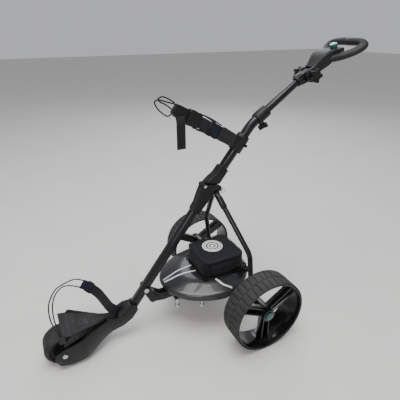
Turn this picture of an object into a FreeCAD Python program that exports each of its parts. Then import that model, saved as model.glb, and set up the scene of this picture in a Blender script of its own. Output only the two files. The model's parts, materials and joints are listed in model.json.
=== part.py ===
import FreeCAD, Part
import math
import os

# Electric golf trolley, millimetres, +Z up, front of the trolley towards -Y.
# The origin is on the ground at the middle of the trolley's length and width.
# Places (y, z) in the side view are measured from the ground point below the rear axle;
# axle_y is the distance from the origin to that point.

V = FreeCAD.Vector
X_AXIS = V(1, 0, 0)
Z_AXIS = V(0, 0, 1)
doc = FreeCAD.newDocument("golf_trolley")
dims = doc.addObject("Spreadsheet::Sheet", "dims")

SIZES = {
    "axle_y": 107.5,
    # rear wheels and axle
    "rear_wheel_radius": 140, "rear_wheel_width": 92, "rear_track": 514, "tyre_depth": 7,
    "rim_wall": 3.5, "hub_radius": 24, "hub_length": 74, "spoke_width": 34, "spoke_depth": 30,
    "axle_radius": 6, "running_gap": 0.05, "hub_cap_radius": 15, "hub_cap_length": 12,
    "axle_tube_radius": 14, "axle_tube_bore": 11, "bearing_radius": 10, "bearing_width": 8,
    # drive
    "gear_module": 1.25, "gear_teeth": 45, "pinion_teeth": 17, "gear_width": 14,
    "gearbox_half": 24, "gearbox_wall": 3.5, "motor_radius": 23, "motor_length": 92,
    # front wheel and fork
    "front_wheel_radius": 62, "front_wheel_width": 80, "front_wheel_y": -660,
    "front_hub_radius": 44, "front_bolt_radius": 5, "fork_gap": 92, "fork_arm": 17,
    # frame
    "main_tube_side": 31, "main_tube_wall": 2, "main_tube_corner": 10, "main_slope": 52.3,
    "main_tube_length": 478, "beam_width": 30, "pivot_radius": 5, "ear_thickness": 6,
    "strut_radius": 9.5, "strut_bend": 60, "strut_half_track": 162, "sleeve_radius": 12,
    # folding joint and mast
    "casing_slope": 51.5, "casing_half": 18.5, "casing_wall": 3, "hinge_pin_radius": 3.5,
    "mast_radius": 17, "mast_bore": 14.05, "mast_bend": 150, "shaft_slope": 35.1,
    "shaft_radius": 14, "shaft_wall": 2, "shaft_length": 206, "collar_radius": 22,
    "screw_radius": 4, "knob_core": 11, "knob_lobe": 6.5, "knob_height": 14,
    "tilt_knob_core": 17, "tilt_knob_height": 16,
    # handle
    "grip_half_width": 16.5, "grip_half_height": 13, "loop_slope": 21.5,
    "tilt_bolt_radius": 5, "dial_radius": 12.5, "button_radius": 6.5,
    # dish, battery and bag
    "dish_half_width": 162, "dish_front": 190, "dish_rear": 170, "dish_centre": -95,
    "dish_wall": 3, "bag_width": 168, "bag_length": 174, "bag_height": 66,
    # straps and cords
    "strap_tilt": 35, "webbing_width": 38, "webbing_thickness": 2.6, "bungee_radius": 2.2, "lead_radius": 3,
}
for row, (name, value) in enumerate(SIZES.items(), start=1):
    dims.set(f"A{row}", name)
    dims.set(f"B{row}", str(value))
    dims.setAlias(f"B{row}", name)
doc.recompute()


def size(name):
    """A driving dimension as the sheet holds it."""
    return float(dims.get(name))


GAP = size("running_gap")
HALF_TRACK = size("rear_track") / 2
AXLE_Z = size("rear_wheel_radius")
SUBPARTS = []


# ---------------------------------------------------------------- placing and joining

def spot(x, y, z):
    """A point given from the ground below the rear axle."""
    return V(x, size("axle_y") + y, z)


def along(start, slope, distance, offset=0.0):
    """(y, z) at a distance up a sloping line, and an offset to its front and upper side."""
    angle = math.radians(slope)
    return (start[0] + distance * math.cos(angle) - offset * math.sin(angle),
            start[1] + distance * math.sin(angle) + offset * math.cos(angle))


def slope_vector(slope):
    return V(0, math.cos(math.radians(slope)), math.sin(math.radians(slope)))


def lean(slope):
    """Turns local Z to a slope in the side view, with local X left alone."""
    return FreeCAD.Rotation(X_AXIS, slope - 90)


def keep(obj, label):
    obj.Label = label
    SUBPARTS.append(obj)
    return obj


def rod(radius, length, start, direction):
    """A cylinder from a start point; radius and length are expressions on the sheet."""
    obj = doc.addObject("Part::Cylinder", "rod")
    obj.setExpression("Radius", str(radius))
    obj.setExpression("Height", str(length))
    obj.Placement = FreeCAD.Placement(start, FreeCAD.Rotation(Z_AXIS, direction))
    return obj


def cross_rod(radius, x_from, x_to, y, z):
    """A cylinder across the trolley, along X."""
    return rod(radius, x_to - x_from, spot(x_from, y, z), X_AXIS)


def box(x_range, y_range, z_range):
    obj = doc.addObject("Part::Box", "box")
    obj.Length = x_range[1] - x_range[0]
    obj.Width = y_range[1] - y_range[0]
    obj.Height = z_range[1] - z_range[0]
    obj.Placement = FreeCAD.Placement(spot(x_range[0], y_range[0], z_range[0]), FreeCAD.Rotation())
    return obj


def fuse(*pieces):
    obj = doc.addObject("Part::MultiFuse", "joined")
    obj.Shapes = list(pieces)
    return obj


def cut(base, *tools):
    obj = doc.addObject("Part::Cut", "cut")
    obj.Base = base
    obj.Tool = tools[0] if len(tools) == 1 else fuse(*tools)
    return obj


def group(*pieces):
    """Identical small pieces in one sub-part, each still a solid of its own."""
    obj = doc.addObject("Part::Compound", "group")
    obj.Links = list(pieces)
    return obj


def shaped(shape):
    """A sub-part whose shape is made directly; the shape is measured from below the axle."""
    obj = doc.addObject("Part::Feature", "shaped")
    obj.Shape = shape
    obj.Placement = FreeCAD.Placement(spot(0, 0, 0), FreeCAD.Rotation()) * shape.Placement
    return obj


# ---------------------------------------------------------------- outlines and sketches

def rounded(points, radius):
    """Edges of a closed outline of (a, b) points with every corner rounded."""
    ring = [V(a, b, 0) for a, b in points]
    corners = [c for i, c in enumerate(ring)
               if (ring[i - 1] - c).getAngle(ring[(i + 1) % len(ring)] - c) < math.radians(179.5)]
    count = len(corners)
    arcs = []
    for i, corner in enumerate(corners):
        before = (corners[i - 1] - corner)
        after = (corners[(i + 1) % count] - corner)
        turn = before.getAngle(after)
        reach = radius / math.tan(turn / 2)
        limit = 0.45 * min(before.Length, after.Length)
        reach = min(reach, limit)
        first = corner + before.normalize() * reach
        last = corner + after.normalize() * reach
        middle = (before + after).normalize()
        real_radius = reach * math.tan(turn / 2)
        centre_distance = real_radius / math.sin(turn / 2)
        arcs.append((first, corner + middle * (centre_distance - real_radius), last))
    edges = []
    for i, (first, middle, last) in enumerate(arcs):
        edges.append(Part.Arc(first, middle, last))
        edges.append(Part.LineSegment(last, arcs[(i + 1) % count][0]))
    return edges


def capsule(centre_a, radius_a, centre_b, radius_b):
    """Edges of the outline round two circles."""
    a = V(centre_a[0], centre_a[1], 0)
    b = V(centre_b[0], centre_b[1], 0)
    line = b - a
    heading = math.atan2(line.y, line.x)
    spread = math.acos((radius_a - radius_b) / line.Length)

    def point(centre, radius, angle):
        return centre + V(math.cos(angle), math.sin(angle), 0) * radius

    up, down = heading + spread, heading - spread
    return [Part.LineSegment(point(b, radius_b, up), point(a, radius_a, up)),
            Part.Arc(point(a, radius_a, up), point(a, radius_a, heading + math.pi),
                     point(a, radius_a, down)),
            Part.LineSegment(point(a, radius_a, down), point(b, radius_b, down)),
            Part.Arc(point(b, radius_b, down), point(b, radius_b, heading),
                     point(b, radius_b, up))]


def circle(a, b, radius):
    return Part.Circle(V(a, b, 0), Z_AXIS, radius)


def sketch_on(body, role, edges, name="outline"):
    sketch = body.newObject("Sketcher::SketchObject", name)
    plane = [f for f in body.Origin.OriginFeatures if f.Role == role][0]
    sketch.AttachmentSupport = [(plane, "")]
    sketch.MapMode = "FlatFace"
    for edge in edges:
        sketch.addGeometry(edge, False)
    return sketch


def padded(edges, thickness, place, role="YZ_Plane", turn=None):
    """A PartDesign body: one sketch padded by an expression on the sheet."""
    body = doc.addObject("PartDesign::Body", "body")
    sketch = sketch_on(body, role, edges)
    pad = body.newObject("PartDesign::Pad", "pad")
    pad.Profile = sketch
    pad.setExpression("Length", str(thickness))
    body.Tip = pad
    body.Placement = FreeCAD.Placement(place, turn or FreeCAD.Rotation())
    return body


def side_plate(edges, x_from, thickness):
    """A plate drawn in the side view and padded towards +X from x_from."""
    return padded(edges, thickness, spot(x_from, 0, 0))


def soften(obj, radius, *x_faces):
    """Rounds the edges of a plate's flat sides at the given x."""
    doc.recompute()
    edges = [number for number, edge in enumerate(obj.Shape.Edges, start=1)
             if any(all(abs(v.X - x) < 0.01 for v in edge.Vertexes) for x in x_faces)]
    fillet = doc.addObject("Part::Fillet", "softened")
    fillet.Base = obj
    fillet.Edges = [(number, radius, radius) for number in edges]
    return fillet


def turned(edges, place, role="XZ_Plane", turn=None):
    """A PartDesign body: a half section turned about the sketch's vertical axis."""
    body = doc.addObject("PartDesign::Body", "turned")
    sketch = sketch_on(body, role, edges)
    revolution = body.newObject("PartDesign::Revolution", "revolution")
    revolution.Profile = sketch
    revolution.ReferenceAxis = (sketch, ["V_Axis"])
    revolution.Angle = 360
    body.Tip = revolution
    body.Placement = FreeCAD.Placement(place, turn or FreeCAD.Rotation())
    return body


def polygon(points):
    """Edges of a closed outline with sharp corners."""
    corners = [V(a, b, 0) for a, b in points]
    return [Part.LineSegment(corners[i - 1], corners[i]) for i in range(len(corners))]


# ---------------------------------------------------------------- bent tubes and cords

def bent_path(points, radius=None):
    """Straight runs joined by tangent arcs. With no radius each arc is as large as fits."""
    corners = [V(*p) for p in points]
    edges = []
    start = corners[0]
    for before, corner, after in zip(corners, corners[1:], corners[2:]):
        back, ahead = before - corner, after - corner
        turn = math.pi - back.getAngle(ahead)
        reach = 0.45 * min(back.Length, ahead.Length)
        if radius:
            reach = min(reach, radius * math.tan(turn / 2))
        real_radius = reach / math.tan(turn / 2)
        first = corner + back.normalize() * reach
        last = corner + ahead.normalize() * reach
        middle = (back + ahead).normalize()
        bulge = real_radius / math.cos(turn / 2) - real_radius
        edges.append(Part.LineSegment(start, first).toShape())
        edges.append(Part.Arc(first, corner + middle * bulge, last).toShape())
        start = last
    edges.append(Part.LineSegment(start, corners[-1]).toShape())
    return Part.Wire(edges)


def swept(points, radius, bend=None):
    """A round bar along a bent path, points measured from below the axle."""
    path = bent_path(points, bend)
    first = path.Edges[0]
    direction = first.tangentAt(first.FirstParameter)
    ring = Part.Wire([Part.Circle(V(*points[0]), direction, radius).toShape()])
    bar = path.makePipeShell([ring], True, False)
    length_ratio = bar.Volume / (math.pi * radius ** 2 * path.Length)
    if abs(length_ratio - 1) > 0.02:
        raise ValueError("bar volume is off its section times its length")
    return bar


def strap(points, width_vector, thickness, bend=None):
    """A flat band along a bent path; width_vector is across the band."""
    path = bent_path(points, bend)
    first = path.Edges[0]
    direction = first.tangentAt(first.FirstParameter)
    wide = V(*width_vector)
    thick = direction.cross(wide).normalize() * (thickness / 2)
    half = wide * 0.5
    origin = V(*points[0])
    corners = [origin + half + thick, origin + half - thick,
               origin - half - thick, origin - half + thick]
    section = Part.makePolygon(corners + [corners[0]])
    shell = Part.BRepOffsetAPI.MakePipeShell(path)
    shell.setBiNormalMode(wide)
    shell.setTransitionMode(1)
    shell.add(section)
    shell.build()
    shell.makeSolid()
    return shell.shape()


def mirrored(shape):
    """The same shape on the other side of the trolley."""
    return shape.mirror(V(0, 0, 0), X_AXIS)


# ---------------------------------------------------------------- key places (y, z)

PIVOT = (-351.5, 188)
SLOPE = size("casing_slope")
CASING = (-79.4, 540)
HINGE = along(CASING, SLOPE, -12, 29)
MAST_BEND = along(CASING, SLOPE, 258.6)
SHAFT_TOP = (140.9, 784)
SHAFT_SLOPE = size("shaft_slope")
TILT = along(SHAFT_TOP, SHAFT_SLOPE, 203.5, -8)
STRUT_FOOT = (10, 175)
MAIN_SLOPE = size("main_slope")


KNUCKLE_X = 10.2


def casing_point(u, v):
    """(y, z) up the folding joint from its middle, and towards its front."""
    return along(CASING, SLOPE, u, v)


# ---------------------------------------------------------------- rear wheels, axle and drive

def drum(side):
    """Rim drum with three channel spokes and a hub, as one moulding."""
    inner_face = HALF_TRACK - size("rear_wheel_width") / 2 + 2
    width = size("rear_wheel_width") - 4
    rim_out = size("rear_wheel_radius") - size("tyre_depth")
    x_from = inner_face if side > 0 else -inner_face - width
    barrel = cut(cross_rod(rim_out, x_from, x_from + width, 0, AXLE_Z),
                 cross_rod(rim_out - size("rim_wall"), x_from - 1, x_from + width + 1, 0, AXLE_Z))
    hub_from = side * (HALF_TRACK - 40)
    hub_to = side * (HALF_TRACK - 40 + size("hub_length"))
    hub = cross_rod("dims.hub_radius", min(hub_from, hub_to), max(hub_from, hub_to), 0, AXLE_Z)
    spokes = []
    for number in range(3):
        angle = math.radians(-90 + 120 * number)
        half = size("spoke_width") / 2
        reach = rim_out - 2.4
        depth = size("spoke_depth")
        outer = [(10, -half * 0.8), (reach, -half), (reach, half), (10, half * 0.8)]
        edges = polygon([(r * math.cos(angle) - w * math.sin(angle),
                          AXLE_Z + r * math.sin(angle) + w * math.cos(angle)) for r, w in outer])
        x_low = side * (HALF_TRACK - 8) if side > 0 else side * (HALF_TRACK - 8) - depth
        spokes.append(side_plate(edges, x_low, "dims.spoke_depth"))
        groove = [(size("hub_radius") + 3, -half * 0.55), (reach - 5, -half * 0.7),
                  (reach - 5, half * 0.7), (size("hub_radius") + 3, half * 0.55)]
        edges = polygon([(r * math.cos(angle) - w * math.sin(angle),
                          AXLE_Z + r * math.sin(angle) + w * math.cos(angle)) for r, w in groove])
        x_cut = side * (HALF_TRACK - 3) if side > 0 else side * (HALF_TRACK - 3) - depth
        spokes[-1] = cut(spokes[-1], side_plate(edges, x_cut, depth))
    solid = fuse(barrel, hub, *spokes)
    bore = cross_rod(size("axle_radius") + GAP, min(hub_from, hub_to) - 1,
                     max(hub_from, hub_to) + 1, 0, AXLE_Z)
    pocket_from = HALF_TRACK + 22
    pocket = cross_rod(size("hub_cap_radius") + 0.3, min(side * pocket_from, side * 340),
                       max(side * pocket_from, side * 340), 0, AXLE_Z)
    return cut(solid, bore, pocket)


def make_rear_wheels():
    radius = size("rear_wheel_radius")
    half = size("rear_wheel_width") / 2
    inner = radius - size("tyre_depth") + GAP
    for side, name in ((1, "left"), (-1, "right")):
        section = rounded([(inner, -half), (radius - 1.5, -half), (radius, -half + 14),
                           (radius, half - 14), (radius - 1.5, half), (inner, half)], 4)
        tyre = turned(section, spot(side * HALF_TRACK, 0, AXLE_Z),
                      turn=FreeCAD.Rotation(V(0, 1, 0), 90))
        keep(tyre, f"rear_tyre_{name}")
        keep(drum(side), f"rear_rim_{name}")
        cap_from = side * (HALF_TRACK + 26.5)
        cap_to = side * (HALF_TRACK + 26.5 + size("hub_cap_length"))
        keep(cross_rod("dims.hub_cap_radius", min(cap_from, cap_to), max(cap_from, cap_to),
                       0, AXLE_Z), f"hub_release_button_{name}")


def gear(teeth, width, x_from, y, z, bore, phase):
    """A spur gear with involute flanks, thinned a little for backlash."""
    module = size("gear_module")
    pressure = math.radians(20)
    pitch = module * teeth / 2
    base = pitch * math.cos(pressure)
    tip = pitch + module
    root = pitch - 1.25 * module
    thinning = 0.12 / pitch
    involute = math.tan(pressure) - pressure
    outline = []
    for tooth in range(teeth):
        centre = phase + 2 * math.pi * tooth / teeth
        flank = []
        for step in range(5):
            r = max(base, root) + (tip - max(base, root)) * step / 4
            roll = math.acos(base / r)
            half = math.pi / (2 * teeth) + involute - (math.tan(roll) - roll) - thinning
            flank.append((r, half))
        if root < base:
            flank.insert(0, (root, flank[0][1]))
        points = [(r, centre - h) for r, h in flank]
        points += [(r, centre + h) for r, h in reversed(flank)]
        outline += [(y + r * math.cos(a), z + r * math.sin(a)) for r, a in points]
    body = side_plate(polygon(outline), x_from, width)
    return cut(body, cross_rod(bore, x_from - 1, x_from + width + 1, y, z))


MOTOR_Y = -(size("gear_teeth") + size("pinion_teeth")) * size("gear_module") / 2


def make_drive():
    half = size("gearbox_half")
    wall = size("gearbox_wall")
    gear_room = size("gear_module") * (size("gear_teeth") / 2 + 1) + 4
    pinion_room = size("gear_module") * (size("pinion_teeth") / 2 + 1) + 7
    for side, name in ((1, "left"), (-1, "right")):
        outer = capsule((0, AXLE_Z), gear_room + wall, (MOTOR_Y, AXLE_Z), pinion_room + wall)
        inner = capsule((0, AXLE_Z), gear_room, (MOTOR_Y, AXLE_Z), pinion_room)
        shell = side_plate(outer, 0 if side > 0 else -half, "dims.gearbox_half")
        room = side_plate(inner, -1 if side > 0 else -half + wall, half - wall + 1)
        axle_hole = cross_rod("dims.axle_tube_bore", -half - 1, half + 1, 0, AXLE_Z)
        shaft_hole = cross_rod(4.2, -half - 1, wall, MOTOR_Y, AXLE_Z)
        keep(cut(shell, room, axle_hole, shaft_hole), f"gearbox_shell_{name}")
    motor_end = -half - size("motor_length")
    can = fuse(cross_rod("dims.motor_radius", motor_end, -half, MOTOR_Y, AXLE_Z),
               cross_rod("dims.motor_radius - 2", motor_end - 8, motor_end, MOTOR_Y, AXLE_Z))
    keep(cut(can, cross_rod(4.2, -half - 70, -half + 1, MOTOR_Y, AXLE_Z)), "motor_body")
    width = size("gear_width")
    tooth_gap = math.pi / size("pinion_teeth")
    keep(gear(int(size("gear_teeth")), width, -width / 2, 0, AXLE_Z, size("axle_radius"),
              math.pi), "axle_gear")
    pinion = gear(int(size("pinion_teeth")), width, -width / 2, MOTOR_Y, AXLE_Z, 3.9, tooth_gap)
    motor_shaft = cross_rod(4, -half - 60, width / 2, MOTOR_Y, AXLE_Z)
    keep(fuse(pinion, motor_shaft), "motor_pinion")
    end = HALF_TRACK + 20
    collars = [cross_rod(17, *sorted((side * 179.5, side * 209)), 0, AXLE_Z) for side in (1, -1)]
    keep(fuse(cross_rod("dims.axle_radius", -end, end, 0, AXLE_Z), *collars), "rear_axle")
    tubes = []
    for side in (1, -1):
        x_in, x_out = sorted((side * half, side * 147))
        tubes.append(cut(cross_rod("dims.axle_tube_radius", x_in, x_out, 0, AXLE_Z),
                         cross_rod("dims.axle_tube_bore", x_in - 1, x_out + 1, 0, AXLE_Z)))
    keep(group(*tubes), "axle_tubes")
    bearings = []
    for side in (1, -1):
        x_in, x_out = sorted((side * 169, side * 177))
        bearings.append(cut(cross_rod("dims.bearing_radius", x_in, x_out, 0, AXLE_Z),
                            cross_rod(size("axle_radius") + GAP, x_in - 1, x_out + 1, 0, AXLE_Z)))
    keep(group(*bearings), "axle_bearings")


# ---------------------------------------------------------------- chassis

def make_chassis():
    beam = side_plate(rounded([(-65.5, 122), (-65.5, 146.5), (-292, 146.5), (-326, 172),
                               (-344, 158), (-318, 120), (-286, 114)], 14), -15, "dims.beam_width")
    ears = []
    half_gap = size("main_tube_side") / 2 + 0.4
    for x_from in (half_gap, -half_gap - size("ear_thickness")):
        plate = side_plate(capsule(PIVOT, 11.5, (-326, 140), 16), x_from, "dims.ear_thickness")
        ears.append(plate)
    bridge = cut(side_plate(capsule((-318, 134), 10, (-322, 142), 10),
                            -half_gap - 1, 2 * half_gap + 2),
                 cross_rod(1, -40, -39, 0, 0))
    pin_hole = cross_rod("dims.pivot_radius", -40, 40, *PIVOT)
    keep(cut(fuse(beam, bridge, *ears), pin_hole), "chassis_beam")
    front_pin = fuse(cross_rod("dims.pivot_radius", -25, 25, *PIVOT),
                     cross_rod(9, 22, 26, *PIVOT), cross_rod(9, -26, -22, *PIVOT))
    brackets = []
    for side in (1, -1):
        x_from = 147 if side > 0 else -177
        lug = side_plate(capsule((0, AXLE_Z), 18, STRUT_FOOT, 13), x_from, 30)
        slot_x = sorted((side * 152.5, side * 171.5))
        slot = box(slot_x, (-30, 50), (AXLE_Z + 17, 200))
        seat_x = sorted((side * 169, side * 179))
        seat = cross_rod("dims.bearing_radius", *seat_x, 0, AXLE_Z)
        axle_x = sorted((side * 143, side * 183))
        axle_hole = cross_rod(7, *axle_x, 0, AXLE_Z)
        pin_hole = cross_rod("dims.pivot_radius", *axle_x, *STRUT_FOOT)
        brackets.append(cut(lug, slot, seat, axle_hole, pin_hole))
    keep(group(*brackets), "axle_brackets")
    foot_pins = [cross_rod("dims.pivot_radius", *sorted((side * 145, side * 179)), *STRUT_FOOT)
                 for side in (1, -1)]
    keep(group(front_pin, *foot_pins), "pivot_pins")


# ---------------------------------------------------------------- dish

def dish_outline(scale, z):
    """The shield outline of the dish: two half ovals that meet at the widest line."""
    points = []
    steps = 12
    for part, length, sign in ((0, size("dish_front"), -1), (1, size("dish_rear"), 1)):
        for step in range(1, steps + 1):
            share = step / steps
            ratio = math.sin(share * math.pi / 2) if part == 0 else math.cos(share * math.pi / 2)
            half_width = size("dish_half_width") * math.sqrt(max(0.0, 1 - ratio ** 1.65))
            points.append((half_width, sign * ratio * length))
    front = points[:steps]
    rear = points[steps:]
    right = [(0.0, size("dish_rear"))] + rear + front
    left = [(-x, y) for x, y in reversed(right[1:-1])]
    loop = [V(x * scale, size("dish_centre") + y * scale, z) for x, y in right + left]
    spline = Part.BSplineCurve()
    spline.interpolate(Points=loop, PeriodicFlag=True)
    return Part.Wire([spline.toShape()])


def dish_solid(sections):
    return Part.makeLoft([dish_outline(scale, z) for scale, z in sections], True)


COVER = ((1.0, 172), (1.0, 178), (0.93, 187), (0.76, 197), (0.55, 205), (0.3, 210))


def cover_raised(rise, shrink=0.0):
    return dish_solid([(scale - shrink, z + rise) for scale, z in COVER])


def make_dish():
    wall = size("dish_wall")
    outside = dish_solid(COVER)
    inside = dish_solid([(s - wall / 150, z - (wall if z > 180 else 0.5)) for s, z in COVER])
    seat_half = size("bag_width") / 2 + 8.3
    seat_front, seat_length = -150.3, size("bag_length") + 16.6
    frame = Part.makeBox(2 * seat_half + 6, seat_length + 6, 60,
                         V(-seat_half - 3, seat_front - 3, 196.5))
    seat = Part.makeBox(2 * seat_half, seat_length, 60, V(-seat_half, seat_front, 200))
    cover = outside.cut(inside).fuse(outside.common(frame)).cut(seat)
    cover = max(cover.Solids, key=lambda solid: solid.Volume)
    keep(shaped(cover), "dish_cover")
    rim = dish_solid(((0.97, 156), (0.97, 171.8)))
    hollow = dish_solid(((0.945, 159.5), (0.945, 173)))
    slots = [Part.makeBox(92, 112, 40, V(-46, -67, 140)), Part.makeBox(112, 52, 40, V(-130, -65, 140))]
    tray = rim.cut(hollow)
    for slot in slots:
        tray = tray.cut(slot)
    keep(shaped(tray), "dish_tray")
    strips = []
    raised = cover_raised(1.4)
    routes = (((6, -276), (19, -151)), ((97, -107), (128, -92)), ((128, -92), (150, -66)))
    for start, end in routes:
        line = V(end[0] - start[0], end[1] - start[1], 0)
        across = V(-line.y, line.x, 0).normalize() * 3.6
        a, b = V(start[0], start[1], 165), V(end[0], end[1], 165)
        face = Part.Face(Part.makePolygon([a - across, b - across, b + across, a + across,
                                           a - across]))
        strips.append(face.extrude(V(0, 0, 60)).common(raised).cut(outside))
    side_strip = strips[1].fuse(strips[2]).removeSplitter()
    pieces = [strips[0], mirrored(strips[0]), side_strip, mirrored(side_strip)]
    keep(shaped(Part.makeCompound([p for s in pieces for p in s.Solids])), "dish_trim_strips")
    plates = ((-165, 112), (-249, 74))
    strips_under = []
    for y_mid, half in plates:
        strip = box((-half, half), (y_mid - 13, y_mid + 13), (146.5, 156))
        holes = [rod(3.2, 12, spot(x, y_mid, 145), Z_AXIS) for x in (-half + 12, half - 12)]
        strips_under.append(cut(strip, *holes))
    keep(group(*strips_under), "cross_plates")
    bolts = []
    for y_mid, half in plates:
        for x in (-half + 12, half - 12):
            bolts.append(fuse(rod(3, 48, spot(x, y_mid, 107.5), Z_AXIS),
                              rod(8, 10, spot(x, y_mid, 104), Z_AXIS),
                              rod(5, 32, spot(x, y_mid, 113), Z_AXIS),
                              rod(11, 2.5, spot(x, y_mid, 144), Z_AXIS)))
    keep(group(*bolts), "dish_bolts")


# ---------------------------------------------------------------- battery

def make_battery():
    half = size("bag_width") / 2
    front = -142
    rear = front + size("bag_length")
    low = 204
    high = low + size("bag_height")
    tray = padded(rounded([(-half - 8, front - 8), (half + 8, front - 8), (half + 8, rear + 8),
                           (-half - 8, rear + 8)], 28), 8, spot(0, 0, 200.1), role="XY_Plane")
    room = padded(rounded([(-half - 4, front - 4), (half + 4, front - 4), (half + 4, rear + 4),
                           (-half - 4, rear + 4)], 24), 8, spot(0, 0, 203.5), role="XY_Plane")
    socket = fuse(box((half + 3, half + 28), (8, 36), (200.1, 203.9)),
                  box((half + 12, half + 24), (14, 30), (203.5, 206.9)))
    keep(fuse(cut(tray, room), socket), "battery_tray")
    bag = padded(rounded([(-half, front), (half, front), (half, rear), (-half, rear)], 22),
                 "dims.bag_height", spot(0, 0, low), role="XY_Plane")
    pocket = padded(rounded([(half - 6, -116), (half + 14, -112), (half + 14, -16),
                             (half - 6, -12)], 9), 43, spot(0, 0, low + 4.6), role="XY_Plane")
    room = box((-half + 8, half - 8), (front + 8, rear - 8), (low + 5, high - 8))
    keep(cut(fuse(bag, pocket), room), "battery_bag")
    keep(box((-half + 8.5, half - 8.5), (front + 8.5, rear - 8.5), (low + 5.5, high - 8.5)),
         "battery_case")
    keep(rod(41, 1.2, spot(-24, -54, high + 0.1), Z_AXIS), "bag_badge")
    # the short lead leaves the side of the bag, loops over and drops into its plug
    lead = [(half + 0.3, -6, 226), (half + 12, -8, 230), (half + 20, 2, 240), (half + 20, 18, 240),
            (half + 18, 24, 230), (half + 18, 22, 218)]
    cord = shaped(swept(lead, size("lead_radius"), 14))
    plug = fuse(box((half + 11, half + 25), (12, 32), (207, 220)),
                box((half + 5, half + 31), (16, 28), (210, 216)))
    keep(fuse(cord, plug), "battery_lead")


# ---------------------------------------------------------------- struts

def make_struts():
    head = casing_point(-12, -33.5)
    x_low = size("strut_half_track")
    knee = (-6, 319)
    top = (head[0] + 7, head[1] - 22)
    tubes = []
    for side in (1, -1):
        points = [(side * 30, *top), (side * (x_low + 1), *knee), (side * x_low, 9, 186)]
        tube = shaped(swept(points, size("strut_radius"), size("strut_bend")))
        x_eye = sorted((side * (x_low - 9), side * (x_low + 9)))
        eye = cross_rod(12, *x_eye, *STRUT_FOOT)
        hole_x = sorted((side * (x_low - 20), side * (x_low + 20)))
        hole = cross_rod(size("pivot_radius") + GAP, *hole_x, *STRUT_FOOT)
        tubes.append(cut(fuse(tube, eye), hole))
    keep(group(*tubes), "rear_struts")
    barrel = cross_rod(11, -18, 18, *head)
    sleeves = []
    bores = []
    for side in (1, -1):
        inner_end = V(side * 10, head[0] + 1, head[1] - 3)
        foot = V(side * 30, *top)
        line = (V(side * (x_low + 1), *knee) - foot).normalize()
        root = foot - line * 8
        sleeves.append(rod("dims.sleeve_radius", 44, foot - line * 14 + spot(0, 0, 0), line))
        sleeves.append(rod(11, (root - inner_end).Length, inner_end + spot(0, 0, 0),
                           root - inner_end))
        bores.append(rod(size("strut_radius") + 0.02, 50, foot + spot(0, 0, 0), line))
    lug = side_plate(rounded([casing_point(-20, -23), casing_point(19, -21.8),
                              casing_point(19, -39), casing_point(-12, -44)], 4), -8, 16)
    pin_line = slope_vector(SLOPE - 90)
    pin_tip = casing_point(9, -21)
    pin_bore = rod(3.5 + GAP, 60, spot(0, *pin_tip) - pin_line * 10, pin_line)
    keep(cut(fuse(barrel, lug, *sleeves), pin_bore, *bores), "strut_yoke")
    stem = rod(3.5, 32, spot(0, *pin_tip), pin_line)
    head_start = spot(0, *pin_tip) + pin_line * 22.5
    pin = fuse(stem, rod(8, 5, head_start, pin_line), rod(5, 11, head_start, pin_line))
    ring = doc.addObject("Part::Torus", "torus")
    ring.Radius1 = 8
    ring.Radius2 = 1.3
    ring.Placement = FreeCAD.Placement(head_start + pin_line * 18.4,
                                       FreeCAD.Rotation(Z_AXIS, X_AXIS))
    keep(group(pin, ring), "strut_pull_pin")


# ---------------------------------------------------------------- main tube and folding joint

def make_main_frame():
    side = size("main_tube_side")
    start = along(PIVOT, MAIN_SLOPE, -76)
    outer = rounded([(-side / 2, -side / 2), (side / 2, -side / 2), (side / 2, side / 2),
                     (-side / 2, side / 2)], size("main_tube_corner"))
    inset = side / 2 - size("main_tube_wall")
    inner = rounded([(-inset, -inset), (inset, -inset), (inset, inset), (-inset, inset)],
                    size("main_tube_corner") - size("main_tube_wall"))
    tube = padded(outer + inner, "dims.main_tube_length", spot(0, *start), role="XY_Plane",
                  turn=lean(MAIN_SLOPE))
    bush = cross_rod(9, -side / 2, side / 2, *PIVOT)
    hole = cross_rod(size("pivot_radius") + GAP, -side, side, *PIVOT)
    keep(cut(fuse(tube, bush), hole), "main_tube")

    # the lower casing of the folding joint, in two halves round the tube's end
    outline = [(-111, -18.5), (-111, 15.5), (-80, 17.5), (-45, 29), (-15, 36), (-4.6, 32.4),
               (21.8, -19.8), (-30, -21.5), (-82, -19.5)]
    half = size("casing_half")
    tube_room = padded(rounded([(-side / 2, -side / 2), (side / 2, -side / 2),
                                (side / 2, side / 2), (-side / 2, side / 2)],
                               size("main_tube_corner")), "dims.main_tube_length",
                       spot(0, *start), role="XY_Plane", turn=lean(MAIN_SLOPE))
    hollow_edges = [(-33.5, -18), (-33.5, 26), (-24, 26), (-18, 14), (-4, 14), (12, -16)]
    for sign, name in ((1, "left"), (-1, "right")):
        shell = soften(side_plate(rounded([casing_point(u, v) for u, v in outline], 8),
                                  0 if sign > 0 else -half, "dims.casing_half"), 6, sign * half)
        hollow = side_plate(rounded([casing_point(u, v) for u, v in hollow_edges], 3),
                            -1 if sign > 0 else -half + 4, half - 3)
        knuckle_x = (KNUCKLE_X, half) if sign > 0 else (-half, -KNUCKLE_X)
        knuckle = cross_rod(8, *knuckle_x, *HINGE)
        web_room = side_plate(capsule(HINGE, 8.8, casing_point(6, 24), 8.8),
                              -1 if sign > 0 else -KNUCKLE_X, KNUCKLE_X + 1)
        folded_room = side_plate(capsule(HINGE, 8.8, casing_point(-13.5, 47.6), 8.8),
                                 -1 if sign > 0 else -KNUCKLE_X, KNUCKLE_X + 1)
        pin_hole = cross_rod("dims.hinge_pin_radius", -30, 30, *HINGE)
        keep(cut(fuse(cut(shell, hollow, web_room, folded_room), knuckle), tube_room, pin_hole),
             f"joint_casing_{name}")
    keep(fuse(cross_rod("dims.hinge_pin_radius", -half, half, *HINGE),
              cross_rod(5.5, half, half + 2, *HINGE), cross_rod(5.5, -half - 2, -half, *HINGE)),
         "fold_hinge_pin")


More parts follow.
